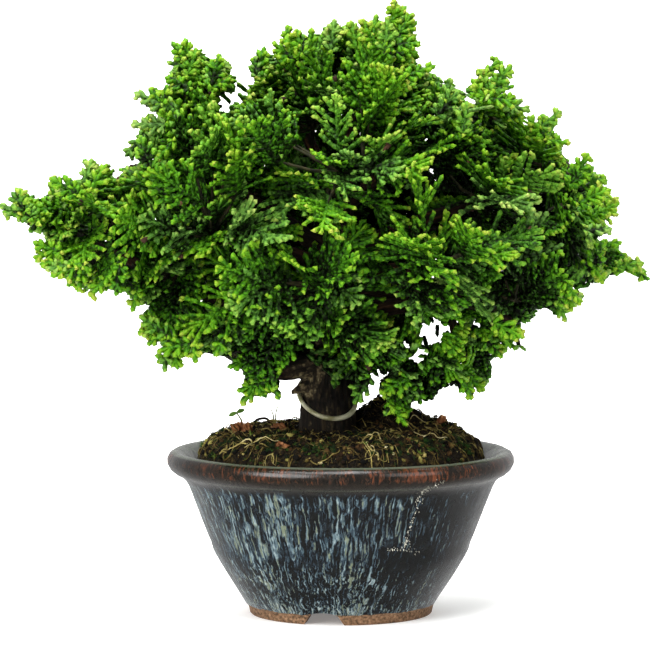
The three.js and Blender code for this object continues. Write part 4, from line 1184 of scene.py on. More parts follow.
crownForm = {
    "centre": (0, 0, 150),
    # the crown's outline from the front, as x and z: over the top from left to right, then back below
    "outline": [
        (-136.3, 164), (-132, 163.5), (-131.3, 169), (-128, 170), (-124, 165.5), (-119.2, 166.5),
        (-117, 169.3), (-116, 174.6), (-114.3, 175), (-112, 171), (-108.8, 174), (-106, 172),
        (-103.5, 175.5), (-101.6, 178.9), (-102.5, 181.4), (-99.7, 181.8), (-97.8, 178.4), (-95.4, 180),
        (-93.8, 180), (-92.5, 175.5), (-89, 174.5), (-86.9, 178), (-83, 179.5), (-79, 180), (-71.5, 180.4),
        (-73.5, 181.6), (-74, 183.7), (-79.2, 185), (-86.4, 183.2), (-84.5, 187.4), (-80.2, 191),
        (-75, 191), (-79.2, 192.5), (-83.4, 196), (-80, 197.4), (-76.4, 199.2), (-74, 198), (-74.3, 200.4),
        (-77.3, 202.2), (-80.4, 204.6), (-81.8, 208.6), (-79.2, 207.4), (-77, 205), (-76, 210), (-74, 210),
        (-72, 207.4), (-69.4, 211.4), (-68.4, 208.6), (-69.7, 215), (-67.4, 218), (-69, 221),
        (-66.4, 223.6), (-67, 228.6), (-65, 228.4), (-64, 224.4), (-62.1, 229.6), (-60.4, 225),
        (-57.8, 226.2), (-54.5, 223), (-53.6, 219.4), (-51.6, 220.3), (-48.6, 223.4), (-47, 221),
        (-45, 220.8), (-47, 217), (-44.4, 214.4), (-45, 210.5), (-40.6, 204.4), (-38.8, 202.6),
        (-38.3, 206), (-36.4, 211), (-34, 213), (-35.6, 216), (-36.4, 219), (-34.2, 222.5), (-32, 221),
        (-30.7, 226.5), (-28.3, 221.7), (-27, 224), (-27, 228.5), (-23, 226.6), (-24, 229.5),
        (-21.3, 234.8), (-19, 231), (-17.8, 233.2), (-16, 229), (-15, 231.4), (-13, 230), (-11.6, 233.8),
        (-8.6, 231.7), (-6, 235.7), (-2.7, 237.3), (0, 235), (4, 236.7), (7, 234), (8.3, 237.6), (11, 236),
        (13.8, 239.2), (15.8, 233.6), (18.5, 238.3), (19.5, 234), (20.7, 241.5), (20.9, 244.8), (23, 243),
        (25.3, 242.6), (25, 239), (28.4, 239.8), (27.5, 236), (30, 236.8), (28.2, 232.6), (31.2, 228.6),
        (29, 226.2), (30.3, 225), (29, 220.8), (29.8, 218), (33.5, 219), (37.3, 219.4), (35.5, 216.4),
        (39, 214.2), (40, 212), (43.4, 214), (44, 210), (47, 209.4), (47.8, 206.4), (48.8, 203.6),
        (50.4, 204.6), (52, 202), (55, 204), (54.6, 207), (50.2, 209.6), (52, 210.6), (52.4, 213.8),
        (54.6, 211.8), (54.8, 217.6), (58.4, 217.8), (58.4, 213), (60, 214), (60.2, 223), (62.8, 221.2),
        (62, 217), (64.8, 216), (67.6, 219.2), (66.4, 215), (68.8, 211.4), (66.6, 209.8), (64.4, 209),
        (66, 207.4), (69, 207), (70.8, 205), (68.4, 202.8), (75.2, 201.6), (71, 200), (72.8, 197),
        (69.6, 194), (74.3, 194), (74.9, 199), (77.8, 194.6), (79.8, 199.2), (81, 196), (83.6, 199),
        (87.6, 201), (86, 196.4), (84, 194), (86, 192), (88.6, 189.4), (91.2, 188.8), (87.4, 186.8),
        (88.4, 184.4), (90.2, 180), (92.6, 178.5), (94.6, 179.2), (98.7, 184), (96, 179.6), (100.3, 178.7),
        (101.8, 176.3), (105.6, 175), (105, 172), (107.4, 170), (107.2, 166.2), (110.9, 164.8),
        (109.2, 162.5), (110.7, 160.1), (107.2, 159.2), (104.2, 156.2), (107.8, 154.2), (102.6, 153),
        (100.7, 151), (102, 149), (105, 149.2), (106.6, 147), (109.2, 148.6), (112, 148.8), (111.2, 145),
        (114.6, 143.8), (117, 141.5), (120.6, 141), (119.6, 138.5), (121.8, 138.2), (123.2, 134.3),
        (118.3, 135.6), (112, 136.4), (107.3, 135.6), (105.2, 132.4), (102, 133), (98.3, 134.4),
        (95, 132.4), (92.4, 130.4), (93.4, 128), (96.6, 127.6), (96, 123.8), (91.6, 125.6), (92.8, 121.4),
        (89, 123.3), (90.3, 117), (86.4, 119), (82, 121.4), (77.3, 121), (76, 117.2), (72.6, 116.8),
        (72, 114), (73.3, 111), (69.4, 109), (67, 106.7), (64.6, 102.8), (62, 102.5), (59.8, 100),
        (60.4, 96.4), (59.9, 92.4), (57.4, 89.4), (55, 89.4), (52.2, 85.8), (48.3, 88.5), (45, 90.4),
        (40.2, 89.4), (38.4, 86.2), (36, 84.8), (32, 83.8), (29.2, 86), (27.4, 83), (27.6, 80),
        (26.4, 75.2), (24, 79), (17.6, 79.4), (17.2, 83), (20, 85.2), (15.8, 88.2), (16, 91.3),
        (18.8, 93.5), (19.6, 97.4), (14, 98.3), (11.4, 96), (9.4, 92), (8, 86.8), (5, 84.2), (3.3, 90.6),
        (0, 94), (-3, 90.5), (-5.6, 94.4), (-8, 97.5), (-18, 101), (-23, 97.3), (-25.6, 94), (-24.8, 85.6),
        (-27.8, 88.6), (-30.2, 86.7), (-34.5, 87), (-40, 83.6), (-39.4, 86.4), (-36.4, 88.7), (-41.4, 89.2),
        (-38.4, 91.6), (-39.4, 95.4), (-41.2, 98), (-45.3, 99.2), (-43.8, 102), (-46.4, 103),
        (-50.7, 103.3), (-53.6, 106.2), (-55.5, 103.8), (-58.4, 100.8), (-59.4, 103.4), (-62, 104.8),
        (-65, 104.4), (-65.2, 98), (-66.6, 100.6), (-68.3, 101.4), (-70.8, 97), (-70.9, 100.5),
        (-73.8, 100.6), (-70.9, 102.5), (-71.3, 104), (-73.2, 105.3), (-71.8, 107.2), (-74.5, 108.6),
        (-77.5, 108.1), (-77.9, 111), (-81, 112.5), (-79.8, 116.3), (-80.4, 119.2), (-76.6, 121.6),
        (-79.3, 123.3), (-81.6, 122.4), (-83.8, 121.4), (-82.7, 124.4), (-85, 126.7), (-87.4, 128.1),
        (-90.3, 127.5), (-93.5, 129.3), (-97.4, 129), (-100.8, 127), (-101.7, 129.6), (-105.6, 129),
        (-107, 131), (-109.5, 131.4), (-110, 133.4), (-113.5, 135.2), (-115.8, 135.7), (-115.2, 138.1),
        (-118, 138.2), (-117, 140.6), (-120, 140.6), (-118, 142.5), (-122.9, 143.1), (-119.9, 145.9),
        (-122.6, 148.8), (-118.8, 148), (-118.6, 151), (-119.9, 153), (-124.3, 153), (-125.3, 155.4),
        (-129.6, 157.7), (-131, 160.1), (-134.8, 161.1), (-132.4, 163)],
    # what the front view looks through: x, z, half width, half height
    "gaps": [(36.8, 111.6, 6.2, 6.4), (30.8, 102, 4, 3.2), (26, 107.4, 2, 2.4), (12.8, 90.8, 4.6, 4.4),
             (17.4, 95, 2.8, 3), (-46.2, 204.6, 4.2, 4.6), (53.5, 115.3, 3, 2.2), (45.5, 114.5, 2.2, 3.2)],
    "grain": 0.6, "mapX": (-150, 150), "mapZ": (60, 260),
    "depth": 92, "skew": (0.4, 0.22),
}
fillForm = {
    "seed": 77, "frondSeed": 7000, "near": 9, "far": 46, "length": (20, 32), "coarse": 1.45,
    "along": 0.8, "outward": 0.4, "stray": 0.3, "middle": 0.55, "past": 1.1, "least": 0.45,
    # first fronds at random places between two depths of the crown, with ever less space between them
    "spacings": (19, 17, 15, 13), "tries": 2500, "outer": 210, "shell": (0.62, 0.93),
    "room": ((-125, -92, 80), (120, 92, 236)),
    # then more where a view still looks through, up to so many shoots
    "azimuths": (0, 180, 90, 270, 45, 315, 135, 225), "layers": (13, 7), "cell": 2.6, "span": 110,
    "rows": (28, 96),
    "deep": 0.4, "skin": 0.93, "most": 64500,
    "trunkView": ((-24, -120, 60), (6, -12, 112)),
    # what the front view looks deep into: x, z, half width, half height
    "hollows": [(-26, 171, 12, 11), (-9, 190, 4, 9), (14, 166, 17, 7), (47, 168, 13, 4), (-10, 139, 11, 6),
                (14, 135, 5, 13), (-50, 141, 9, 4), (24, 118, 6, 7), (68, 156, 6, 5)],
}
tipForm = {"corner": 0.6, "length": 10, "near": 5, "slim": 0.7, "seed": 20000}
coneForm = {"seed": 31, "count": 110, "girth": (0.7, 1.3), "depths": (0.75, 0.94), "share": 60}
# painted shade for the leaves: how much sky a shoot sees sets how dark its tint is painted
shadeForm = {
    "cell": 5, "reach": 60, "thick": 0.08, "dark": (0.13, 0.05), "bright": (0.52, 0.31), "least": (0.05, 0.5),
    "core": (38, 130, 104, 82),  # the crown's middle, where the painted shade is strongest: x, z, half width, half height
    "ways": [(0, 0, 1), (1, 0, 1), (-1, 0, 1), (0, 1, 1), (0, -1, 1), (1, 1, 0.3), (-1, 1, 0.3), (1, -1, 0.3),
             (-1, -1, 0.3)],
}


def lehmer(seed):  # repeatable draws from 0 to 1
    state = seed % 2147483647
    while True:
        state = state * 16807 % 2147483647
        yield state / 2147483647


def leafFrame(base, along, lean, roll):
    outward = Vector((base.x, base.y, base.z - 135)).normalized()
    face = Vector(lean) * 0.9 + outward * 0.6 + Vector((0, -0.15, 0.6))
    face = (face - along * face.dot(along)).normalized()
    face = Matrix.Rotation(math.radians(roll), 3, along) @ face
    return Matrix((along, face.cross(along), face)).transposed()


def lobeCorners(length, lobes, draw):  # where a solid fan's corners lie in its own plane
    half = rules["lobeWidth"] * length / 2
    corners = [(length, half), (length, -half)]
    for hand in (-1, 1):
        for station, angle, reach in lobes:
            vary = 1 + rules["ragged"] * (next(draw) - 0.5)
            turn = math.radians(angle + 14 * (next(draw) - 0.5))
            c, s = math.cos(turn), math.sin(turn)
            x = station * length + c * reach * length * vary
            y = rules["rib"] + s * reach * length * vary
            corners += [(x - half * s, hand * (y + half * c)), (x + half * s, hand * (y - half * c))]
    return corners


def settle(fan, seed, scales, solid):  # the size and turn that the solid fan has, found by its corners
    best = (0, None)
    for scale in scales:
        for roll in rules["rolls"]:
            draw = lehmer(seed)
            droop, cup = 0.02 + 0.2 * next(draw), 0.5 * (next(draw) - 0.4)
            lean = [next(draw) - 0.5 for _ in range(3)]
            turn = leafFrame(fan["base"], fan["along"], lean, roll)
            length = fan["length"] * scale
            corners = np.array(lobeCorners(length, fan["lobes"], draw))
            lift = (-droop * corners[:, 0] ** 2 - cup * corners[:, 1] ** 2) / length
            places = np.column_stack([corners, lift]) @ np.array(turn).T + np.array(fan["base"])
            near = np.linalg.norm(solid[None] - places[:, None], axis=2).min(1) < rules["match"]
            if near.mean() > best[0]:
                best = (near.mean(), {**fan, "length": length, "droop": droop, "cup": cup, "turn": turn})
    return best


def sprayPlan(limb, spray):
    root = smoothCurve(limb[0], spray[0])
    tips = [Vector(tip) for tip in spray[1:]]
    along = sum(tips, Vector()) / len(tips) - root
    reach = max(rules["heartStation"] * along.length, rules["heartLeast"])
    along.normalize()
    centre = root + along * reach
    fans = []
    for tip in tips:
        way = tip - centre
        length = min(way.length, rules["mostLength"])
        way.normalize()
        fans.append({"along": way, "length": length, "base": tip - way * length, "lobes": rules["tipLobes"]})
    return root, centre, along, fans


def sideFan(centre, along, turn):
    across = leafFrame(centre, along, (0, 0, 0), 0) @ Vector((0, 1, 0))
    way = along * math.cos(math.radians(turn)) + across * math.sin(math.radians(turn))
    return {"along": way, "length": rules["sideLength"], "base": centre.copy(), "lobes": rules["sideLobes"]}


stand = np.array(view["stand"], float)
outline = np.array(crownForm["outline"], float)
rays = outline - (crownForm["centre"][0], crownForm["centre"][2])
rayTurns = np.degrees(np.arctan2(rays[:, 1], rays[:, 0])) % 360
outlineTurns = np.arange(0, 360, 4)
outlineReach = []
for turn in outlineTurns:  # how far the outline reaches in each direction
    away = np.abs((rayTurns - turn + 180) % 360 - 180)
    outlineReach.append(np.hypot(rays[:, 0], rays[:, 1])[away <= max(3.5, away.min())].max())


def isIn(flat, ellipses):  # which of these points of the front view lie in an ellipse of the list
    inside = np.zeros(len(flat), bool)
    for x, z, across, high in ellipses:
        inside |= ((flat[:, 0] - x) / across) ** 2 + ((flat[:, 1] - z) / high) ** 2 < 1
    return inside


def outlineMap():  # a fine grid of the front view that is true inside the crown's outline
    rulers = [np.arange(*crownForm[key], crownForm["grain"]) for key in ("mapX", "mapZ")]
    across, up = np.meshgrid(*rulers, indexing="ij")
    inside = np.zeros(across.shape, bool)
    for (x1, z1), (x2, z2) in zip(outline, np.roll(outline, -1, 0)):
        if z1 != z2:
            inside ^= ((z1 > up) != (z2 > up)) & (across < (x2 - x1) * (up - z1) / (z2 - z1) + x1)
    inside &= ~isIn(np.column_stack([across.ravel(), up.ravel()]), crownForm["gaps"]).reshape(across.shape)
    for axis in (0, 1):  # a shoot is wider than its middle line
        inside &= np.roll(inside, 1, axis) & np.roll(inside, -1, axis)
    return inside


shown = outlineMap()


def isShown(flat):  # which of these points of the front view the crown covers
    low = (crownForm["mapX"][0], crownForm["mapZ"][0])
    cells = np.clip((flat - low) / crownForm["grain"], 0, np.array(shown.shape) - 1).astype(int)
    return shown[cells[:, 0], cells[:, 1]]


def seenAt(points):  # where the front camera sees them, on the upright plane through the pot's axis
    return (stand + (points - stand) * (-stand[1] / (points[:, 1] - stand[1]))[:, None])[:, [0, 2]]


def crownDepth(points):  # 0 at the middle of the crown, 1 at its outside
    flat = seenAt(points) - (crownForm["centre"][0], crownForm["centre"][2])
    turn = np.degrees(np.arctan2(flat[:, 1], flat[:, 0])) % 360
    side = np.interp(turn, outlineTurns, outlineReach, period=360)
    x = points[:, 0]  # the left of the crown comes forward and the right goes back
    y = points[:, 1] - x * np.where(x < 0, crownForm["skew"][0], crownForm["skew"][1])
    return np.hypot(np.hypot(flat[:, 0], flat[:, 1]) / side, y / crownForm["depth"])


def frondShoots(fan, rng):  # rows of x, y, z, heading, tilt, length, width and tint
    form, coarse, length, rows = frondForm, fan.get("coarse", 1), fan["length"], []
    step, pitch, shoot = [coarse * form[k] for k in ("step", "pitch", "shoot")]
    s = form["start"] * length
    while s < length - 1:
        u = s / length
        rows.append((s, 0, 0, rng.normal(0, form["wander"][0]), 0, min(shoot, length - s + 0.6),
                     1.15 - 0.15 * u, 0.15 + 0.6 * u ** 3))
        s += step
    middle, long = form["middle"] * length, form["long"] * length
    wide = form["wide"] * length * fan.get("slim", 1)
    near, far = form["spread"]
    for hand in (-1, 1):
        s = (form["start"] + rng.uniform(0, 0.07)) * length
        while s < form["end"] * length:
            u = s / length
            base = math.radians(near + (far - near) * u + rng.uniform(-8, 8))
            # how far the finger runs before it meets the ellipse
            a = (math.cos(base) / long) ** 2 + (math.sin(base) / wide) ** 2
            b, c = (s - middle) * math.cos(base) / long ** 2, ((s - middle) / long) ** 2 - 1
            reach = (-b + math.sqrt(max(b * b - a * c, 0))) / a * rng.uniform(*form["reach"])
            tilt = math.radians(rng.normal(*form["lift"]))
            x, y, z, t, flip = s, 0.0, 0.0, 0.0, hand
            while t < reach - 1:
                left = reach - t
                heading = hand * (base - math.radians(form["curl"]) * t / reach)
                heading += rng.normal(0, form["wander"][1])
                tint = 0.2 + 0.15 * u + 0.55 * max(0, 1 - left / form["bright"]) + rng.normal(0, 0.05)
                last = left < step + 1
                width = rng.uniform(*form["widths"]) + 0.08 * last
                rows.append((x, y, z, heading, tilt, min(shoot, left + 0.4), width, tint))
                if rng.random() < form["nubShare"] and left > 2:
                    turned = heading + flip * math.radians(form["nubAngle"] + rng.uniform(-10, 10))
                    rows.append((x + math.cos(heading), y + math.sin(heading), z, turned,
                                 tilt + rng.normal(0, 0.3), coarse * form["nub"] * rng.uniform(*form["vary"]),
                                 form["nubWidth"], tint + 0.1))
                    flip = -flip
                ahead = min(step, left)
                x += math.cos(heading) * ahead
                y += math.sin(heading) * ahead
                z += math.tan(tilt) * ahead
                t += step
            s += pitch / math.sin(base) * rng.uniform(*form["vary"])
    rows = np.array(rows)
    rows[:, 6] *= coarse
    return rows


def leafOut(fan, seed):  # gives a frond its shoots on the tree: places, headings, faces, sizes, tints
    rng = np.random.default_rng(seed)
    glow = rng.uniform(-0.12, 0.15)
    x, y, rise, heading, tilt, size, width, tint = frondShoots(fan, rng).T
    length, droop, cup = fan["length"], fan["droop"], fan["cup"]
    forward = np.maximum(x, 0)
    z = (-droop * forward ** 2 - cup * y ** 2) / length
    zx, zy = -2 * droop * forward / length, -2 * cup * y / length
    dx, dy = np.cos(heading), np.sin(heading)
    ways = np.column_stack([dx, dy, zx * dx + zy * dy + np.tan(np.clip(tilt, -0.7, 0.7))])
    ups = np.column_stack([-zx, -zy, np.ones_like(x)])
    turn = np.array(fan["turn"])
    places = np.column_stack([x, y, z + rise]) @ turn.T + np.array(fan["base"])
    sizes = np.column_stack([size, frondForm["halfWidth"] * width, frondForm["halfThick"] * width])
    bloom = np.full(len(x), max(0, rng.uniform(-1.6, 1)))
    ways = ways @ turn.T
    ends = places + ways * (sizes[:, 0] * 0.8 / np.linalg.norm(ways, axis=1))[:, None]
    flat = seenAt(ends)
    kept = isShown(flat) | (np.arange(len(x)) < 2) | fan.get("free", False)
    fan["whole"] = kept.mean()
    # how much of the outline's edge lies within 4 mm: shoots there get a painted rim light, a lighter tint
    around = np.arange(8) * math.pi / 4
    rim = sum(~isShown(flat + 4 * np.array([math.cos(a), math.sin(a)])) for a in around) / 8
    tint = np.minimum(tint + (0.25 - 0.2 * fan.get("free", False)) * rim, 0.72)
    fan["shoots"] = [part[kept] for part in (places, ways, ups @ turn.T, sizes, tint + glow, bloom)]
    return fan


def shadeShoots(fans):  # painted shade: the tint of leaves under others is darkened, by the sky that each sees past its neighbours, and less so towards the crown's outside
    form = shadeForm
    places = np.concatenate([fan["shoots"][0] for fan in fans])
    low, cell = places.min(0) - form["reach"] - form["cell"], form["cell"]
    grid = np.zeros(((places.max(0) - low + form["reach"]) / cell + 2).astype(int))
    np.add.at(grid, tuple(((places - low) / cell).astype(int).T), 1)
    sky = np.zeros(len(places))
    for way in form["ways"]:
        way = np.array(way) / np.linalg.norm(way)
        met = sum(grid[tuple(((places + way * t - low) / cell).astype(int).T)]
                  for t in np.arange(1.2 * cell, form["reach"], cell))
        sky += np.exp(-form["thick"] * met) / len(form["ways"])
    flat = seenAt(places)
    outward = np.hypot((flat[:, 0] - form["core"][0]) / form["core"][2],
                       (flat[:, 1] - form["core"][1]) / form["core"][3])
    dark, bright, least = [np.interp(outward, (0.5, 1.1), form[k]) for k in ("dark", "bright", "least")]
    shade = np.clip((sky - dark) / (bright - dark), 0, 1)
    print("foliage: sky seen, tenths", np.percentile(sky, range(10, 100, 20)).round(2))
    start = 0
    for fan in fans:
        tint = fan["shoots"][4]
        part = slice(start, start + len(tint))
        # painted shade: the tint is darkened where little sky is seen
        tint *= least[part] + (1 - least[part]) * shade[part]
        start += len(tint)


def shootMesh():  # one shoot of scale leaves, 1 long: keeled, with a blunt tip
    vertices, faces = [], [(0, 1, 2)]
    for x, w, h in ((0.03, 0.8, 0.8), (0.68, 1, 1)):
        vertices += [(x, w, -0.45 * h), (x, 0, h), (x, -w, -0.45 * h)]
    vertices.append((1, 0, 0.1))
    for s in range(3):
        n = (s + 1) % 3
        faces += [(s, n, 3 + n, 3 + s), (3 + s, 3 + n, 6)]
    mesh = faceOut(plainMesh("shoot", vertices, faces))
    paint(mesh, "along", "FLOAT", [v[0] for v in vertices])
    return mesh


# Young shoots' bark: smooth, olive brown, partly green.
twigBark = grainMaterial("youngTwigBark", [(0.35, "#0d0f05"), (0.5, "#20220e"), (0.65, "#35301a")], 330, 3,
                         {"Roughness": 0.8, "Specular IOR Level": 0.2}, (0.5, 0.0003))


def leafMaterial():
    # Hinoki scale leaves: waxy, fresh yellow green at the shoot tips, deep green behind. The tint also
    # carries painted shade inside the crown and a painted rim light at its outline.
    material, add = newMaterial("hinokiScaleLeaves")

    tint = add("ShaderNodeAttribute", attribute_name="tint")
    along = add("ShaderNodeAttribute", attribute_name="along")
    place = add("ShaderNodeTexCoord")
    # scale leaves are 1 to 2 mm long, so the noise that stands for them is about that size
    speckle = add("ShaderNodeTexVoronoi", {"Vector": place.outputs["Object"], "Scale": 720})
    frosted = add("ShaderNodeAttribute", attribute_name="bloom")
    tip = add("ShaderNodeMath", {0: along.outputs["Fac"], 1: 0.12, 2: tint.outputs["Fac"]},
              operation="MULTIPLY_ADD")
    varied = add("ShaderNodeMath", {0: speckle, 1: -0.36, 2: tip}, operation="MULTIPLY_ADD")
    shifted = add("ShaderNodeMath", {0: varied, 1: 0.17}, operation="ADD")
    ramp = add("ShaderNodeValToRGB", {"Fac": shifted})
    fillRamp(ramp, [(0, "#040502"), (0.15, "#132506"), (0.3, "#2f5f0a"), (0.5, "#4c7e0e"), (0.76, "#69891c"),
                    (1, "#8a9238")])
    brightness = add("ShaderNodeRGBToBW", {0: ramp})
    # the bloom of wax on some fronds pales them towards blue
    waxy = add("ShaderNodeVectorMath", {0: linear("#bfdf9c")[:3], "Scale": brightness}, operation="SCALE")
    waxed = add("ShaderNodeVectorMath", {0: waxy, "Scale": 1.7}, operation="SCALE")
    share = add("ShaderNodeMath", {0: frosted.outputs["Fac"], 1: 0.34}, operation="MULTIPLY")
    colour = add("ShaderNodeMix", {
        0: share, 6: ramp, 7: waxed}, data_type="RGBA")
    bump = add("ShaderNodeBump", {"Strength": 0.8, "Distance": 0.0006, "Height": speckle}, invert=True)
    finishMaterial(add, {
        "Base Color": colour.outputs[2], "Roughness": 0.5, "IOR": 1.3, "Specular IOR Level": 0.2,
        "Normal": bump})
    return material


def plannedFans():  # every spray's fans, as the solids have them
    plans, index, matched = {}, 0, 0
    for limbName, limb in limbs.items():
        for number, spray in enumerate(limb[2]):
            node = f"spray_{limbName}_{number + 1}"
            solid = np.array([v.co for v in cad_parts[node].data.vertices]) / mm
            root, centre, along, tipFans = sprayPlan(limb, spray)
            rng = np.random.default_rng(frondForm["seed"] + index)
            fans = []
            for k, fan in enumerate(tipFans):
                seed = rules["tipSeed"][0] * (index + 1) + rules["tipSeed"][1] * (k + 1)
                share, found = settle(fan, seed, rules["tipScales"], solid)
                if share > 0.5:
                    fans.append(found)
                    matched += 1
                else:  # no room for a solid fan here: a light frond goes between its neighbours
                    turn = leafFrame(fan["base"], fan["along"], rng.uniform(-0.4, 0.4, 3), 0)
                    fans.append({**fan, "length": fan["length"] * 0.9, "droop": 0.12, "cup": 0.1,
                                 "turn": turn})
            for k, angle in enumerate(rules["sideTurns"]):
                seed = rules["sideSeed"][0] * (index + 1) + rules["sideSeed"][1] * (k + 1)
                share, found = settle(sideFan(centre, along, angle), seed, rules["sideScales"], solid)
                if share > 0.5:
                    fans.append(found)
                    matched += 1
            for k, fan in enumerate(fans):
                fan["from"] = centre
                leafOut(fan, 100 * index + k)
            plans[node] = {"root": root, "centre": centre, "fans": fans, "limb": limbName}
            index += 1
    print(f"foliage: {matched} of {sum(len(p['fans']) for p in plans.values())} fans settled by the solids")
    return plans


def fillFans(plans):  # smaller fronds that grow from the limbs wherever the crown is still thin
    form = fillForm
    rng = np.random.default_rng(form["seed"])
    anchors = [(smoothCurve(path, t), name) for name, (path, _, _) in limbs.items()
               for t in np.linspace(0.35, 1, 9).tolist()]
    anchors += [(plan["centre"], plan["limb"]) for plan in plans.values()]
    spots = np.array([a[0] for a in anchors])
    cell, span = form["cell"], form["span"]
    grids = {azimuth: np.zeros((span, span), int) for azimuth in form["azimuths"]}
    made, total = [], 0
    clearLow, clearHigh = (np.array(corner) for corner in form["trunkView"])
    # the fronds stay in the solids' box
    solidLow, solidHigh = (np.array(corner) / mm for corner in cadBounds)

    def cellsOf(points, azimuth):
        if azimuth == 0:
            u, v = seenAt(points).T
        else:
            a = math.radians(azimuth)
            u, v = points[:, 0] * math.cos(a) + points[:, 1] * math.sin(a), points[:, 2]
        return (np.clip(np.array([u + span * cell / 2, v]) / cell, 0, span - 1)).astype(int)

    def count(fan):
        places, ways, _, sizes = fan["shoots"][:4]
        unit = ways / np.linalg.norm(ways, axis=1)[:, None]
        for azimuth, grid in grids.items():
            for part in (0.25, 0.75):
                np.add.at(grid, tuple(cellsOf(places + unit * sizes[:, :1] * part, azimuth)), 1)
        return len(places)

    def grown(spot, spacing):  # a frond with its middle at the spot, if there is room for one
        away = np.linalg.norm(spots - spot, axis=1)
        k = int(away.argmin())
        if not form["near"] < away[k] < form["far"]:
            return None
        outward = Vector(spot - np.array(crownForm["centre"])).normalized()
        way = Vector(spot - spots[k]).normalized() * form["along"] + outward * form["outward"]
        way = (way + Vector(rng.uniform(-form["stray"], form["stray"], 3))).normalized()
        length = min(max(away[k] * 1.3, form["length"][0]), form["length"][1])
        base = Vector(spot) - way * length * form["middle"]
        depth = crownDepth(np.array([spot, base + way * length]))
        if depth[1] > form["past"] or spacing and min((Vector(spot) - m).length for m in middles) < spacing:
            return None
        fan = {"base": base, "along": way, "length": length, "from": Vector(spots[k])}
        fan["turn"] = leafFrame(base, way, rng.uniform(-0.8, 0.8, 3), 0)
        for key, low, high in (("droop", 0.02, 0.2), ("cup", -0.2, 0.4), ("slim", 0.8, 1.05)):
            fan[key] = rng.uniform(low, high)
        fan["coarse"] = form["coarse"] if depth[0] < form["shell"][0] else 1
        leafOut(fan, form["frondSeed"] + len(made))
        places = fan["shoots"][0]
        if (places < solidLow).any() or (places > solidHigh).any():
            return None
        kept = ((places > clearLow) & (places < clearHigh)).all(1)
        kept |= isIn(seenAt(places), form["hollows"]) & (places[:, 1] < 0)
        if kept.mean() > 0.1 or fan["whole"] < form["least"]:
            return None
        middles.append(Vector(spot))
        made.append((anchors[k][1], fan))
        return fan

    middles = []
    for plan in plans.values():
        for fan in plan["fans"]:
            middles.append(fan["base"] + fan["along"] * fan["length"] * form["middle"])
            total += count(fan)
    print(f"foliage: {total} shoots on the sprays")
    for spacing in form["spacings"]:
        for _ in range(form["tries"]):
            spot = rng.uniform(*form["room"])
            depth = crownDepth(spot[None])[0]
            if form["shell"][0] < depth < form["shell"][1] and len(made) < form["outer"]:
                fan = grown(spot, spacing)
                total += count(fan) if fan else 0
    print(f"foliage: {total} shoots with {len(made)} fronds between them")
    rows = np.linspace(-90, 90, 19)
    for azimuth in form["azimuths"]:
        a = math.radians(azimuth)
        across, towards = np.array([math.cos(a), math.sin(a), 0]), np.array([math.sin(a), -math.cos(a), 0])
        cells = [(i, j) for i in range(span) for j in range(*form["rows"])]
        rng.shuffle(cells)
        seen = bare = 0
        for i, j in cells:
            u, v = (i + 0.5) * cell - span * cell / 2, (j + 0.5) * cell
            if azimuth == 0:
                ray = stand + (np.array([u, 0, v]) - stand) * ((rows - stand[1]) / -stand[1])[:, None]
            else:
                ray = across * u + towards * rows[:, None] + np.array([0, 0, v])
            depth = crownDepth(ray)
            least = depth.min()
            if least > form["skin"] and azimuth or not azimuth and not isShown(np.array([[u, v]]))[0]:
                continue
            seen += 1
            if grids[azimuth][i, j] >= form["layers"][azimuth != 0]:
                continue
            bare += 1
            fits = np.where((depth > form["deep"]) & (depth < max(form["skin"], least + 0.02)))[0]
            for k in rng.permutation(fits)[:4]:
                if total > form["most"]:
                    break
                fan = grown(ray[k], 0)
                if fan:
                    total += count(fan)
                    break
        print(f"foliage: from {azimuth}, {seen} places, {bare} thin ones; {len(made)} fronds, {total} shoots")
    return made


def tipFans(plans, made):  # small fronds that run out to the tips of the crown's outline
    owners = [(plan["limb"], fan) for plan in plans.values() for fan in plan["fans"]] + made
    places = np.concatenate([fan["shoots"][0] for _, fan in owners])
    owner = np.repeat(np.arange(len(owners)), [len(fan["shoots"][0]) for _, fan in owners])
    flat = seenAt(places)
    found = []
    for k, tip in enumerate(outline):
        before, after = [(outline[j % len(outline)] - tip) for j in (k - 1, k + 1)]
        inward = before / np.hypot(*before) + after / np.hypot(*after)
        if before[0] * after[1] - before[1] * after[0] < 0 or np.hypot(*inward) < tipForm["corner"]:
            continue
        start = tip + inward / np.hypot(*inward) * tipForm["length"]
        near = np.where(np.hypot(*(flat - start).T) < tipForm["near"])[0]
        if len(near):
            k = near[places[near, 1].argmin()]
            base = places[k]
            end = stand + (np.array([tip[0], 0, tip[1]]) - stand) * (base[1] - stand[1]) / -stand[1]
            way = Vector(end - base)
            fan = {"base": Vector(base), "from": Vector(base), "along": way.normalized(),
                   "length": way.length,
                   "droop": 0.05, "cup": 0.1, "slim": tipForm["slim"], "free": True}
            fan["turn"] = leafFrame(fan["base"], fan["along"], (0, -1, 0), 0)
            found.append((owners[owner[k]][0], leafOut(fan, tipForm["seed"] + len(found))))
    print(f"foliage: {len(found)} fronds at the tips")
    return found


def frondPiece(name, fans, twigs, seed, pattern, leaf):
    for fan in fans:
        end = fan["base"] + fan["along"] * fan["length"] * 0.15
        if not isShown(seenAt(np.array([end, (end + fan["from"]) / 2]))).all():
            continue
        twigs.append(((fan["from"], (fan["base"] + fan["from"]) / 2, end), (0.8, 0.7, 0.4), 0.5))
    parts = [np.concatenate([fan["shoots"][k] for fan in fans]) for k in range(6)]
    points = dict(zip(("places", "headings", "faces", "sizes", "tint", "bloom"), parts))
    piece = growPiece(name, pattern, leaf, points, twigBark, twigs, seed=seed)
    return piece


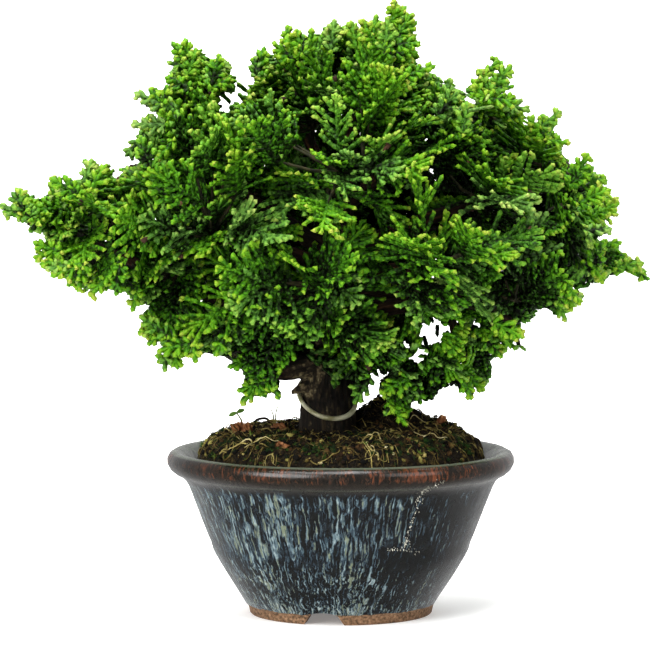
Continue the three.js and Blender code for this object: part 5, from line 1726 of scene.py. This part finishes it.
def buildCones(fans):  # spent cones on the outer shoots
    # Hinoki cones, dry and open: dull reddish brown, paler on the scales' edges.
    matter = tintedMaterial("driedHinokiCones", [
        (0, "#100905"), (0.4, "#2c1a10"), (0.7, "#543827"), (1, "#83634b")], 800, 0.85, 0.0003)
    form = coneForm
    rng = np.random.default_rng(form["seed"])
    places, ways, ups, sizes, tints = [np.concatenate([fan["shoots"][k] for fan in fans]) for k in range(5)]
    ways = ways / np.linalg.norm(ways, axis=1)[:, None]
    ends = places + ways * sizes[:, :1] * 0.8
    depth = crownDepth(ends)
    fresh = tints > np.percentile(tints, form["share"])
    outer = np.where((depth > form["depths"][0]) & (depth < form["depths"][1]) & fresh)[0]
    chosen = rng.choice(outer, form["count"], replace=False)
    girth = rng.uniform(*form["girth"], len(chosen))
    cone = newPiece("lumpPattern", lumpMesh())
    cones = growPiece("spentCones", cone, matter, {
        "places": ends[chosen] + ways[chosen] * girth[:, None], "headings": ways[chosen],
        "faces": ups[chosen],
        "sizes": np.column_stack([girth * rng.uniform(1.3, 2.1, len(chosen)), girth, girth * 0.9]),
        "tint": rng.uniform(0.15, 0.8, len(chosen))}, seed=9)
    bpy.data.objects.remove(cone)


def buildFoliage():
    leaf = leafMaterial()
    pattern = newPiece("shootPattern", shootMesh())
    plans = plannedFans()
    extra = fillFans(plans)
    extra += tipFans(plans, extra)
    every = [fan for plan in plans.values() for fan in plan["fans"]] + [fan for _, fan in extra]
    shadeShoots(every)
    pieces = []
    for index, (node, plan) in enumerate(plans.items()):
        stem = ((plan["root"], (plan["root"] + plan["centre"]) / 2, plan["centre"]), (1.4, 1.1, 0.9), 0.5)
        piece = frondPiece(node + "_fronds", plan["fans"], [stem], index, pattern, leaf)
        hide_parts(node)
        pieces.append(piece)
    for index, name in enumerate(limbs):
        fans = [fan for owner, fan in extra if owner == name]
        if fans:
            pieces.append(frondPiece(f"{name}_inner_fronds", fans, [], 500 + index, pattern, leaf))
    bpy.data.objects.remove(pattern)
    buildCones(every)
    print(f"foliage: {triangles(pieces)} triangles")


buildFoliage()
